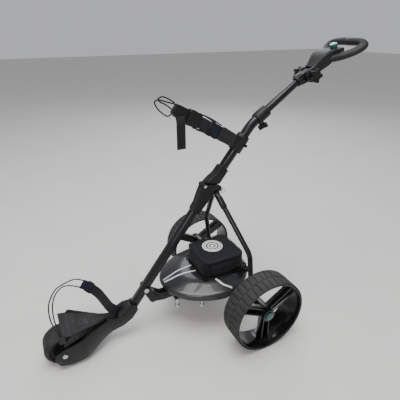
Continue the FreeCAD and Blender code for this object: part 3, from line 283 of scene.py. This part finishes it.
def new_piece(name, verts, faces, materials, body, face_mats=None, shade=40):
    """A mesh piece in the row frame that rides on a body. verts are in metres."""
    mesh = bpy.data.meshes.new(name)
    mesh.from_pydata([tuple(v) for v in verts], [], faces)
    mesh.validate()
    mesh.update()
    obj = bpy.data.objects.new(name, mesh)
    bpy.context.scene.collection.objects.link(obj)
    for mat in materials:
        mesh.materials.append(mat)
    if face_mats:
        for poly, number in zip(mesh.polygons, face_mats):
            poly.material_index = number
    bm = bmesh.new()
    bm.from_mesh(mesh)
    bmesh.ops.recalc_face_normals(bm, faces=bm.faces)
    bm.to_mesh(mesh)
    bm.free()
    smooth(obj, shade)
    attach(obj, body)
    return obj


def bridge(here, there, count):
    """Faces between two closed rings of count points, whose first points are given."""
    return [(here + i, here + (i + 1) % count, there + (i + 1) % count, there + i)
            for i in range(count)]


def lathe(name, profile, centre, materials, body, segments):
    """A closed profile of (distance along X, radius) in mm turned round an axis along X."""
    verts, faces = [], []
    count = len(profile)
    for step in range(segments):
        angle = 2 * math.pi * step / segments
        for along_x, radius in profile:
            verts.append(place(centre[0] + along_x,
                               centre[1] + radius * math.cos(angle),
                               centre[2] + radius * math.sin(angle)))
        faces += bridge(step * count, (step + 1) % segments * count, count)
    return new_piece(name, verts, faces, materials, body)


def rounded_route(points, radius, step=4.0):
    """Points every few mm along a polyline whose corners are rounded."""
    corners = [Vector(p) for p in points]
    route = [corners[0]]
    for before, corner, after in zip(corners, corners[1:], corners[2:]):
        back, ahead = before - corner, after - corner
        reach = min(0.45 * min(back.length, ahead.length), radius)
        first = corner + back.normalized() * reach
        last = corner + ahead.normalized() * reach
        route.append(first)
        for number in range(1, 6):
            t = number / 6
            route.append((1 - t) ** 2 * first + 2 * t * (1 - t) * corner + t ** 2 * last)
        route.append(last)
    route.append(corners[-1])
    even = []
    for a, b in zip(route, route[1:]):
        parts = max(1, int((b - a).length / step))
        even += [a.lerp(b, i / parts) for i in range(parts)]
    return even + [route[-1]]


def band(name, points, across, width, thickness, materials, body, radius=30, marks=()):
    """A woven band along a route. marks are (from, to, material number) as shares of its length.
    The edges are a little thicker than the middle, as the selvedge of webbing is."""
    route = rounded_route(points, radius)
    across = Vector(across).normalized()
    lengths = [0.0]
    for a, b in zip(route, route[1:]):
        lengths.append(lengths[-1] + (b - a).length)
    shares = [(-0.5, 0.35), (-0.485, 0.5), (-0.44, 0.42), (-0.2, 0.40), (0, 0.41), (0.2, 0.40),
              (0.44, 0.42), (0.485, 0.5), (0.5, 0.35)]
    section = shares + [(a, -b) for a, b in reversed(shares)]
    verts, faces, mats = [], [], []
    for i, point in enumerate(route):
        tangent = (route[min(i + 1, len(route) - 1)] - route[max(i - 1, 0)]).normalized()
        flat = (across - tangent * across.dot(tangent)).normalized()
        thick = tangent.cross(flat).normalized()
        sway = 0.25 * math.sin(lengths[i] * 0.11) + 0.12 * math.sin(lengths[i] * 0.37)
        for a, b in section:
            spot = point + flat * (a * width) + thick * (b * thickness + sway * (1 - abs(a)))
            verts.append(place(*spot))
    count = len(section)
    for i in range(len(route) - 1):
        share = (lengths[i] + lengths[i + 1]) / 2 / lengths[-1]
        number = next((m for low, high, m in marks if low <= share <= high), 0)
        faces += bridge(i * count, (i + 1) * count, count)
        mats += [number] * count
    last = (len(route) - 1) * count
    faces += [tuple(range(count)), tuple(range(last, last + count))]
    mats += [0, 0]
    return new_piece(name, verts, faces, materials, body, mats)


def buckle(name, centre, along_line, across, size, body):
    """A three-bar slider: three cross bars and two side bars that meet. size is its width,
    length, bar width and depth in mm."""
    along_line, across = Vector(along_line).normalized(), Vector(across).normalized()
    out = along_line.cross(across).normalized()
    width, length, bar, depth = size
    verts, faces = [], []

    def block(a0, a1, c0, c1):
        base = len(verts)
        inset = 0.7     # mm, the bars' chamfer
        for d, grow in ((-depth / 2, -inset), (-depth / 2 + inset, 0), (depth / 2 - inset, 0),
                        (depth / 2, -inset)):
            for a, c in ((a0 - grow, c0 - grow), (a1 + grow, c0 - grow), (a1 + grow, c1 + grow),
                         (a0 - grow, c1 + grow)):
                verts.append(place(*(Vector(centre) + along_line * a + across * c + out * d)))
        for ring in range(3):
            faces.extend(bridge(base + ring * 4, base + ring * 4 + 4, 4))
        faces.extend([(base, base + 1, base + 2, base + 3),
                      (base + 12, base + 13, base + 14, base + 15)])

    for middle in (-length / 2, 0, length / 2):
        block(middle - bar / 2, middle + bar / 2, -width / 2, width / 2)
    for side in (-1, 1):
        edge = side * width / 2
        block(-length / 2, length / 2, min(edge, edge - side * bar), max(edge, edge - side * bar))
    return new_piece(name, verts, faces, [MATS["black_plastic"]], body, shade=30)


# ---------------------------------------------------------------- tyres

TREAD_BARS = 38          # bars round each of the two rows
BAR_FOOT = 136.4         # mm from the axle, where the bars rise from the skin
BAR_TOP = 139.85
TREAD_EDGE = 45.2        # mm from the tyre's middle to the bars' outer ends
STUD_RINGS = ((137.0, 3.1), (139.3, 2.7), (139.9, 1.8))    # radius from the axle, stud radius
STUD_REACH_AT = 139      # mm from the axle, where a stud's reach round the tyre is measured


def tread_bar(x_centre, x_from, x_to, middle, half):
    """Vertices and faces of one bar across the tyre. middle and half are angles round it."""
    verts, faces = [], []
    stations = [x_from + (x_to - x_from) * t for t in (0, 0.05, 0.35, 0.65, 0.95, 1)]
    for i, x in enumerate(stations):
        shoulder = 1.5 * max(0.0, (abs(x) - 30) / 15) ** 2
        top = BAR_TOP - shoulder - (1.0 if i in (0, 5) else 0.0)
        ring = [(-half, BAR_FOOT), (-half * 0.97, top - 0.9), (-half * 0.86, top),
                (0, top + 0.05), (half * 0.86, top), (half * 0.97, top - 0.9), (half, BAR_FOOT)]
        for offset, radius in ring:
            angle = middle + offset
            verts.append(place(x_centre + x, radius * math.cos(angle),
                               WHEEL_RADIUS + radius * math.sin(angle)))
    for i in range(5):
        faces += [(i * 7 + k, i * 7 + k + 1, i * 7 + k + 8, i * 7 + k + 7) for k in range(6)]
    return verts, faces + [tuple(range(7)), tuple(range(35, 42))]


def tread_stud(x_centre, middle):
    """Vertices and faces of a round stud in the middle of the tyre, at an angle round it."""
    sides = 10
    verts, faces = [], []
    for radius, reach in STUD_RINGS:
        for k in range(sides):
            turn = 2 * math.pi * k / sides
            angle = middle + reach * math.sin(turn) / STUD_REACH_AT
            verts.append(place(x_centre + reach * math.cos(turn), radius * math.cos(angle),
                               WHEEL_RADIUS + radius * math.sin(angle)))
    for ring in range(len(STUD_RINGS) - 1):
        faces += bridge(ring * sides, (ring + 1) * sides, sides)
    last = (len(STUD_RINGS) - 1) * sides
    return verts, faces + [tuple(range(last, last + sides))]


def rear_tread(name, side, body):
    """A tyre skin with two staggered rows of wide bars and a stud between each pair."""
    x_centre = side * HALF_TRACK
    profile = [(-45.6, 133.2), (-45.8, 136.2), (-43, 136.8), (-3, 137.0), (3, 137.0),
               (43, 136.8), (45.8, 136.2), (45.6, 133.2)]
    skin = lathe(name, profile, (x_centre, 0, WHEEL_RADIUS), [MATS["tyre_rubber"]], body,
                 4 * TREAD_BARS)
    verts, faces = [], []
    pitch = 2 * math.pi / TREAD_BARS
    for number in range(TREAD_BARS):
        shapes = [tread_bar(x_centre, 2.2, TREAD_EDGE, number * pitch, pitch * 0.44),
                  tread_bar(x_centre, -TREAD_EDGE, -2.2, (number + 0.5) * pitch, pitch * 0.44),
                  tread_stud(x_centre, (number + 0.25) * pitch)]
        for shape_verts, shape_faces in shapes:
            base = len(verts)
            verts += shape_verts
            faces += [tuple(base + k for k in face) for face in shape_faces]
    blocks = new_piece(name + "_bars", verts, faces, [MATS["tyre_rubber"]], body, shade=30)
    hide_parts("rear_tyre_" + ("left" if side > 0 else "right"))


# ---------------------------------------------------------------- battery bag

# The bag in mm: half its width, where its front and rear lie along Y, and its base and top.
BAG = {"x": 84, "front": -142, "rear": 32, "low": 204, "high": 270}
BAG_MIDDLE = (BAG["front"] + BAG["rear"]) / 2
BAG_SIDES = 112          # points round the bag
SETTLE_FRAMES = 24


def bag_outline(inset, count):
    """Points round the bag's plan, a rectangle with rounded corners, counted evenly by angle."""
    half_x = BAG["x"] - inset
    half_y = (BAG["rear"] - BAG["front"]) / 2 - inset
    points = []
    for i in range(count):
        angle = 2 * math.pi * i / count
        c, s = math.cos(angle), math.sin(angle)
        radius = (abs(c / half_x) ** 6 + abs(s / half_y) ** 6) ** (-1 / 6)
        points.append((radius * c, BAG_MIDDLE + radius * s))
    return points


def bag_levels():
    """(inset, height) in mm of the rings that the bag is cut from, from its base to its top."""
    low, high = BAG["low"], BAG["high"]
    levels = [(6, low + 0.2), (1.5, low + 2), (0, low + 7)]
    levels += [(0, low + 7 + 5.6 * i) for i in range(1, 10)]
    levels += [(1.5, high - 5.5), (5, high - 3.5)]
    return levels + [(5 + 5.2 * i, high - 3.5) for i in range(1, 15)]


def settle(bag):
    """Runs the bag as cloth, held at its seams and corners and pressed lightly from inside."""
    count = BAG_SIDES
    group = bag.vertex_groups.new(name="sewn")
    base, sides, top_seam = range(0, 3), range(3, 12), range(12, 14)
    quarter, corner = count // 4, (13, 14, 15)    # the points of a quarter that are its corner
    held = [ring * count + k for ring in (*base, *top_seam) for k in range(count)]
    held += [ring * count + k for ring in sides for k in range(count) if k % quarter in corner]
    group.add(held, 1.0, "ADD")
    cloth = bag.modifiers.new("settle", "CLOTH")
    settings = cloth.settings
    settings.quality = 7
    settings.mass = 0.05
    settings.tension_stiffness = 40
    settings.compression_stiffness = 40
    settings.shear_stiffness = 20
    settings.bending_stiffness = 2.0
    settings.vertex_group_mass = "sewn"
    settings.use_pressure = True
    settings.uniform_pressure_force = 0.6
    settings.shrink_min = -0.006
    cloth.point_cache.frame_start = 1
    cloth.point_cache.frame_end = SETTLE_FRAMES
    bag.modifiers.move(len(bag.modifiers) - 1, 0)
    for number in range(1, SETTLE_FRAMES + 1):
        bpy.context.scene.frame_set(number)
    shape = bag.evaluated_get(bpy.context.evaluated_depsgraph_get())
    settled = bpy.data.meshes.new_from_object(shape)
    co = np.zeros(len(settled.vertices) * 3, np.float32)
    settled.vertices.foreach_get("co", co)
    bag.modifiers.remove(cloth)
    bag.data.vertices.foreach_set("co", co)
    bag.data.update()
    bpy.context.scene.frame_set(1)


def battery_bag():
    """The padded bag: settled as cloth, then laid on its battery, with piping on its seams."""
    count = BAG_SIDES
    levels = bag_levels()
    verts, faces = [], []
    for inset, z in levels:
        for x, y in bag_outline(inset, count):
            verts.append(place(x, y, z))
    for ring in range(len(levels) - 1):
        faces += bridge(ring * count, (ring + 1) * count, count)
    verts.append(place(0, BAG_MIDDLE, levels[-1][1]))
    top = (len(levels) - 1) * count
    faces += [(top + k, top + (k + 1) % count, len(verts) - 1) for k in range(count)]
    faces.append(tuple(range(count)))
    bag = new_piece("bag_cloth", verts, faces, [MATS["bag_fabric"]], "chassis", shade=60)
    settle(bag)
    rest_on_battery(bag)
    fold_map(bag)
    rounding = bag.modifiers.new("round", "SUBSURF")
    rounding.levels = 1
    rounding.render_levels = 1
    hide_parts("battery_bag")
    for name, inset, z in (("bag_piping_top", 1.0, BAG["high"] - 4.4),
                           ("bag_piping_low", 0.4, BAG["low"] + 4.5)):
        ring = [place(x, y, z) for x, y in bag_outline(inset, 140)]
        piping(name, ring, 1.5)
    return bag


def rest_on_battery(obj):
    """Lifts the bag's top to lie on the battery inside it, and to fall away past its edges."""
    low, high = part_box("battery_case")
    cloth_room, near_top = 0.0022, high.z - 0.012    # in metres
    fall = 0.35
    for vertex in obj.data.vertices:
        over = max(low.x - vertex.co.x, vertex.co.x - high.x, low.y - vertex.co.y,
                   vertex.co.y - high.y, 0.0)
        held = high.z + cloth_room - fall * over
        if near_top < vertex.co.z < held:
            vertex.co.z = held
    obj.data.update()


def fold_map(obj):
    """Soft shallow folds, pushed in and out along the normals above the bag's base."""
    mesh = obj.data
    for vertex in mesh.vertices:
        x, y, z = vertex.co.x * 1000, (vertex.co.y - AXLE_Y) * 1000, vertex.co.z * 1000
        wave = math.sin(x * 0.085 + 1.3 * math.sin(y * 0.05)) * math.sin(y * 0.07 + x * 0.03)
        small = math.sin(x * 0.23 + y * 0.19) * math.sin(z * 0.21 + y * 0.11)
        depth = 0.9 * wave + 0.45 * small
        edge = min(1.0, max(0.0, (z - BAG["low"] - 4) / 8))
        vertex.co += Vector(vertex.normal) * (-0.5 + 0.6 * depth) * 0.001 * edge
    mesh.update()


def piping(name, ring, radius, out=(0, 0, 1)):
    """A corded seam: a closed round bead along a flat ring of points. out is square to it."""
    verts, faces = [], []
    count = len(ring)
    sides = 8
    for i, point in enumerate(ring):
        tangent = (ring[(i + 1) % count] - ring[i - 1]).normalized()
        side = tangent.cross(Vector(out)).normalized()
        up = side.cross(tangent)
        for k in range(sides):
            angle = 2 * math.pi * k / sides
            verts.append(point + (side * math.cos(angle) + up * math.sin(angle)) * radius / 1000)
        faces += bridge(i * sides, (i + 1) % count * sides, sides)
    bead = new_piece(name, verts, faces, [MATS["bag_fabric"]], "chassis", shade=80)


def side_pocket():
    """A flat pouch on the bag's side that bulges between its seams, and its piping."""
    rows, columns = 22, 44
    y_middle, z_middle = -64, 232.5
    half_y, half_z = 54, 23.5
    foot, bulge, back = 83.0, 11.5, 83.2
    front_verts, back_verts, faces = [], [], []
    for i in range(rows + 1):
        for k in range(columns + 1):
            a, b = 2 * i / rows - 1, 2 * k / columns - 1
            edge = max(0.0, (1 - a ** 4) * (1 - b ** 6)) ** 0.5
            y = y_middle + half_y * b * (1 - 0.04 * a * a)
            z = z_middle + half_z * a * (1 - 0.10 * b ** 4)
            crease = 0.5 * math.sin(y * 0.16 + z * 0.07) + 0.3 * math.sin(z * 0.33 + y * 0.05)
            x = foot + (bulge + crease) * edge
            front_verts.append(place(x, y, z))
            back_verts.append(place(min(x, back), y, z))
    first_back = len(front_verts)
    for i in range(rows):
        for k in range(columns):
            a = i * (columns + 1) + k
            faces.append((a, a + 1, a + columns + 2, a + columns + 1))
            a += first_back
            faces.append((a, a + columns + 1, a + columns + 2, a + 1))
    pocket = new_piece("bag_pocket", front_verts + back_verts, faces, [MATS["bag_fabric"]],
                       "chassis", shade=60)
    edge = []
    for i in range(96):
        angle = 2 * math.pi * i / 96
        c, s = math.cos(angle), math.sin(angle)
        reach = (abs(c / (half_y - 0.5)) ** 5 + abs(s / (half_z - 0.5)) ** 5) ** -0.2
        edge.append(place(86.4, y_middle + reach * c, z_middle + reach * s))
    piping("pocket_piping", edge, 1.3, (1, 0, 0))


def badge_on(bag):
    """A round printed patch with plain rings, laid on the bag's top."""
    tree = BVHTree.FromObject(bag, bpy.context.evaluated_depsgraph_get())
    rings = (8, 13, 20, 25.5, 32, 35, 40, 41)    # mm, each colour's outer radius
    colours = (0, 1, 0, 1, 0, 1, 0, 0)           # light and dark, from the middle out
    segments = 96
    middle_x, middle_y, above = -24, -54, 320    # mm
    face_lift, rim_lift = 0.0011, 0.0003         # metres above the cloth
    verts, faces, mats = [], [], []
    for radius in rings:
        for k in range(segments):
            angle = 2 * math.pi * k / segments
            spot = place(middle_x + radius * math.cos(angle),
                         middle_y + radius * math.sin(angle), above)
            hit = tree.ray_cast(spot, Vector((0, 0, -1)))[0]
            lift = rim_lift if radius == rings[-1] else face_lift
            verts.append(Vector((spot.x, spot.y, hit.z + lift)))
    for ring in range(len(rings) - 1):
        faces += bridge(ring * segments, (ring + 1) * segments, segments)
        mats += [colours[ring + 1]] * segments
    faces.append(tuple(range(segments)))
    mats.append(colours[0])
    patch = new_piece("badge_patch", verts, faces, [MATS["badge"], MATS["bag_fabric"]], "chassis",
                      mats, shade=60)
    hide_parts("bag_badge")


# ---------------------------------------------------------------- straps

NAVY = woven("navy webbing", (0.006, 0.008, 0.026), 260.0, 0.6, 0.3, 0.8)


def lower_strap():
    """The strap over the foot of the bag, with its navy end and slider."""
    across = (0, math.sin(STRAP_TILT), math.cos(STRAP_TILT))
    route = [strap_point(0, 8), strap_point(0, 50), strap_point(-88, 80), strap_point(-117, 116),
             strap_point(-123, 139)]
    strap = band("lower_strap_web", route, across, WEB_WIDTH, WEB_THICKNESS,
                 [MATS["webbing"], NAVY], "main_frame", 26, ((0.80, 1.0, 1),))
    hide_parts("lower_strap")
    slider = Vector(strap_point(-112.5, 110))
    run = Vector(strap_point(-117, 116)) - Vector(strap_point(-100, 95))
    frame_piece = buckle("lower_strap_slider", slider, run, across, (44, 20, 4, 5.5), "main_frame")


def upper_straps():
    """The two short straps beside the pad, each with a slider, and the hanging tail."""
    wide = slope_line(UPPER_SLOPE - 90)
    for side, name in ((1, "near"), (-1, "far")):
        route = [cradle_point(side * 26, 111), cradle_point(side * 24, 150),
                 cradle_point(side * 13, 186)]
        strap = band("upper_strap_" + name, route, wide, WEB_WIDTH, WEB_THICKNESS,
                     [MATS["webbing"], NAVY], "mast", 40, ((0.0, 0.36, 1),))
        centre = Vector(cradle_point(side * 24.8, 143))
        slider = buckle("upper_slider_" + name, centre,
                        Vector(cradle_point(0, 150)) - Vector(cradle_point(0, 111)), wide,
                        (43, 17, 3.6, 5.0), "mast")
    tail_y, tail_z = cradle_point(0, 259, -12)[1:]
    tail = band("strap_tail", [(12.7, tail_y, tail_z), (20, tail_y, tail_z - 16),
                               (20, tail_y, 697)], (0, 1, 0), 30, WEB_THICKNESS,
                [MATS["webbing"], NAVY], "mast", 14, ((0.90, 1.0, 1),))
    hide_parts("upper_straps")


# ---------------------------------------------------------------- cords

def through(points, steps=8):
    """A smooth line through the points, in mm, as many short stretches."""
    knots = [Vector(p) for p in points]
    knots = [2 * knots[0] - knots[1]] + knots + [2 * knots[-1] - knots[-2]]
    line = []
    for a, b, c, d in zip(knots, knots[1:], knots[2:], knots[3:]):
        for step in range(steps):
            t = step / steps
            line.append(0.5 * (2 * b + (c - a) * t + (2 * a - 5 * b + 4 * c - d) * t ** 2
                               + (3 * b - a - 3 * c + d) * t ** 3))
    return line + [knots[-2]]


def elastic(name, line, radius, body):
    """A round cord along a line of points in mm, fixed at both ends. Its length is the line's."""
    points = [place(*p) for p in line]
    data = bpy.data.curves.new(name, "CURVE")
    data.dimensions = "3D"
    data.bevel_depth = radius / 1000
    data.bevel_resolution = 4
    data.use_fill_caps = True
    spline = data.splines.new("POLY")
    spline.points.add(len(points) - 1)
    for knot, point in zip(spline.points, points):
        knot.co = (*point, 1)
    data.materials.append(MATS["cord"])
    obj = bpy.data.objects.new(name, data)
    bpy.context.scene.collection.objects.link(obj)
    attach(obj, body)
    return obj


def cords():
    """The elastic cords and the battery's lead, along the same routes as the frame's."""
    first = [strap_point(-123.3, 140.2, -15), (-115, -594, 202), (-95, -622, 221),
             (-55, -649, 227), (-10, -664, 221), (30, -668, 196), (54, -662, 168),
             (56, -660, 153.5)]
    second = [strap_point(-123.3, 140.2, 15), (-112, -574, 226), (-92, -610, 236),
              (-60, -646, 243), (-15, -672, 233), (20, -679, 214), (46, -675, 188),
              (61, -664, 160), (60, -655, 153.5)]
    lower = elastic("lower_elastic_near", through(first), ELASTIC_RADIUS, "main_frame")
    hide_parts("lower_bungee_cords")
    elastic("lower_elastic_far", through(second), ELASTIC_RADIUS, "main_frame")
    near = [cradle_point(8, 284.8, -12), (8, -234, 804), (8, -253, 815), (8, -268, 831),
            (8, -275, 849), (8, -263, 855), (8, -241, 848), cradle_point(8, 284.8, 14)]
    far = [cradle_point(-8, 284.8, -4), (-8, -235, 836), (-8, -251, 845), (-8, -258, 854),
           (-8, -244, 860), (-8, -226, 853), cradle_point(-8, 284.8, 17)]
    upper = elastic("upper_loop_near", through(near), ELASTIC_RADIUS, "mast")
    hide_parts("upper_bungee_cords")
    elastic("upper_loop_far", through(far), ELASTIC_RADIUS, "mast")
    for side, side_name in ((1, "near"), (-1, "far")):
        for up, last, up_name in ((23.5, 25.5, "top"), (-24.5, -25.5, "low")):
            route = [cradle_point(side * 20, 111, up), cradle_point(side * 20, 150, up + 3),
                     cradle_point(side * 14, 186, last)]
            elastic(f"strap_elastic_{side_name}_{up_name}", through(route), ELASTIC_RADIUS,
                    "mast")
    half = BAG["x"]
    lead = [(half + 0.3, -6, 226), (half + 12, -8, 230), (half + 20, 2, 240),
            (half + 20, 18, 240), (half + 18, 24, 230), (half + 18, 22, 218)]
    plug = plug_body("lead_plug", (half + 18, 22, 213.5))
    cord = elastic("lead_cord", rounded_route(lead, 14, 3), LEAD_RADIUS, "chassis")
    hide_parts("battery_lead")


def plug_body(name, centre):
    """A moulded plug: a ribbed grip on a flange, with a strain relief that the cord enters."""
    mesh = bmesh.new()
    blocks = [((14, 20, 11), (0, 0, 0)), ((26, 12, 5), (0, 0, -1)), ((8, 10, 4), (0, 0, 6))]
    blocks += [((15.4, 1.6, 8), (0, y, 0.4)) for y in (-7.5, -4.5, -1.5, 1.5, 4.5, 7.5)]
    for size, shift in blocks:
        made = bmesh.ops.create_cube(mesh, size=1.0)["verts"]
        for vertex in made:
            spot = [c + d + v * w for c, d, v, w in zip(centre, shift, vertex.co, size)]
            vertex.co = place(*spot)
    bmesh.ops.bevel(mesh, geom=list(mesh.edges), offset=0.0006, segments=2, affect="EDGES")
    data = bpy.data.meshes.new(name)
    mesh.to_mesh(data)
    mesh.free()
    data.materials.append(MATS["black_plastic"])
    obj = bpy.data.objects.new(name, data)
    bpy.context.scene.collection.objects.link(obj)
    smooth(obj, 30)
    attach(obj, "chassis")
    return obj


# ---------------------------------------------------------------- hard nodes

FINE_NODES = {"axle_gear", "motor_pinion", "dish_trim_strips"}
SOFT_NODES = {"rear_tyre_left", "rear_tyre_right", "battery_bag", "bag_badge", "lower_strap",
              "upper_straps", "lower_bungee_cords", "upper_bungee_cords", "battery_lead"}


def finish_nodes():
    """Fresh shading on every node, and small rounded edges on the hard ones."""
    for name, obj in nodes.items():
        with bpy.context.temp_override(object=obj, active_object=obj, selected_objects=[obj]):
            bpy.ops.mesh.customdata_custom_splitnormals_clear()
        weld = obj.modifiers.new("weld", "WELD")
        weld.merge_threshold = 0.00001
        if name not in SOFT_NODES:
            edge = obj.modifiers.new("edges", "BEVEL")
            edge.width = 0.0006 if name in FINE_NODES else 0.0011
            edge.segments = 2
            edge.limit_method = "ANGLE"
            edge.angle_limit = math.radians(38)
            edge.use_clamp_overlap = True
        smooth(obj, 32)


finish_nodes()
rear_tread("tread_left", 1, "wheel_left")
rear_tread("tread_right", -1, "wheel_right")
bag_piece = battery_bag()
side_pocket()
badge_on(bag_piece)
lower_strap()
upper_straps()
cords()


# ---------------------------------------------------------------- stage, light and camera

def plain_floor():
    """A pale matt floor under the wheels."""
    bpy.ops.mesh.primitive_plane_add(size=30, location=(0, 0, 0))
    floor = bpy.context.object
    floor.name = "floor"
    pale, rough = (0.62, 0.61, 0.59), 0.8
    mat, tree, bsdf = new_material("pale floor", pale, rough)
    vector = object_coords(tree)
    mottled(tree, bsdf, vector, pale, 0.03, 3.0, rough, 0.05)
    floor.data.materials.append(mat)


def area_light(name, location, target, size, power, color=(1, 1, 1)):
    """A square soft light that faces a target, in metres and watts."""
    data = bpy.data.lights.new(name, "AREA")
    data.size = size
    data.energy = power
    data.color = color
    light = bpy.data.objects.new(name, data)
    light.location = location
    light.rotation_euler = (Vector(target) - Vector(location)).to_track_quat("-Z", "Y").to_euler()
    bpy.context.scene.collection.objects.link(light)


def studio():
    """Even pale surroundings with three soft lights."""
    world = bpy.data.worlds.new("studio")
    bpy.context.scene.world = world
    world.use_nodes = True
    background = world.node_tree.nodes["Background"]
    background.inputs["Color"].default_value = (0.86, 0.87, 0.90, 1)
    background.inputs["Strength"].default_value = 0.58
    area_light("overhead", (0.3, -0.4, 3.4), (0, 0, 0.3), 2.2, 120)
    area_light("front", (2.6, -2.2, 2.4), (0, 0, 0.5), 1.8, 60, (1, 0.98, 0.95))
    area_light("rim", (-2.6, 1.8, 2.6), (0, 0, 0.5), 2.0, 45, (0.92, 0.96, 1))


def camera():
    """The view of the object's left front, from about the handle's height."""
    data = bpy.data.cameras.new("camera")
    data.lens = 31.806
    data.sensor_width = 36
    data.clip_start = 0.02
    cam = bpy.data.objects.new("camera", data)
    cam.location = (1.0084, -0.6420 + AXLE_Y, 1.0449)
    cam.rotation_euler = (math.radians(64.04), math.radians(0.07), math.radians(62.65))
    bpy.context.scene.collection.objects.link(cam)
    bpy.context.scene.camera = cam


plain_floor()
studio()
camera()
bpy.context.view_layer.update()
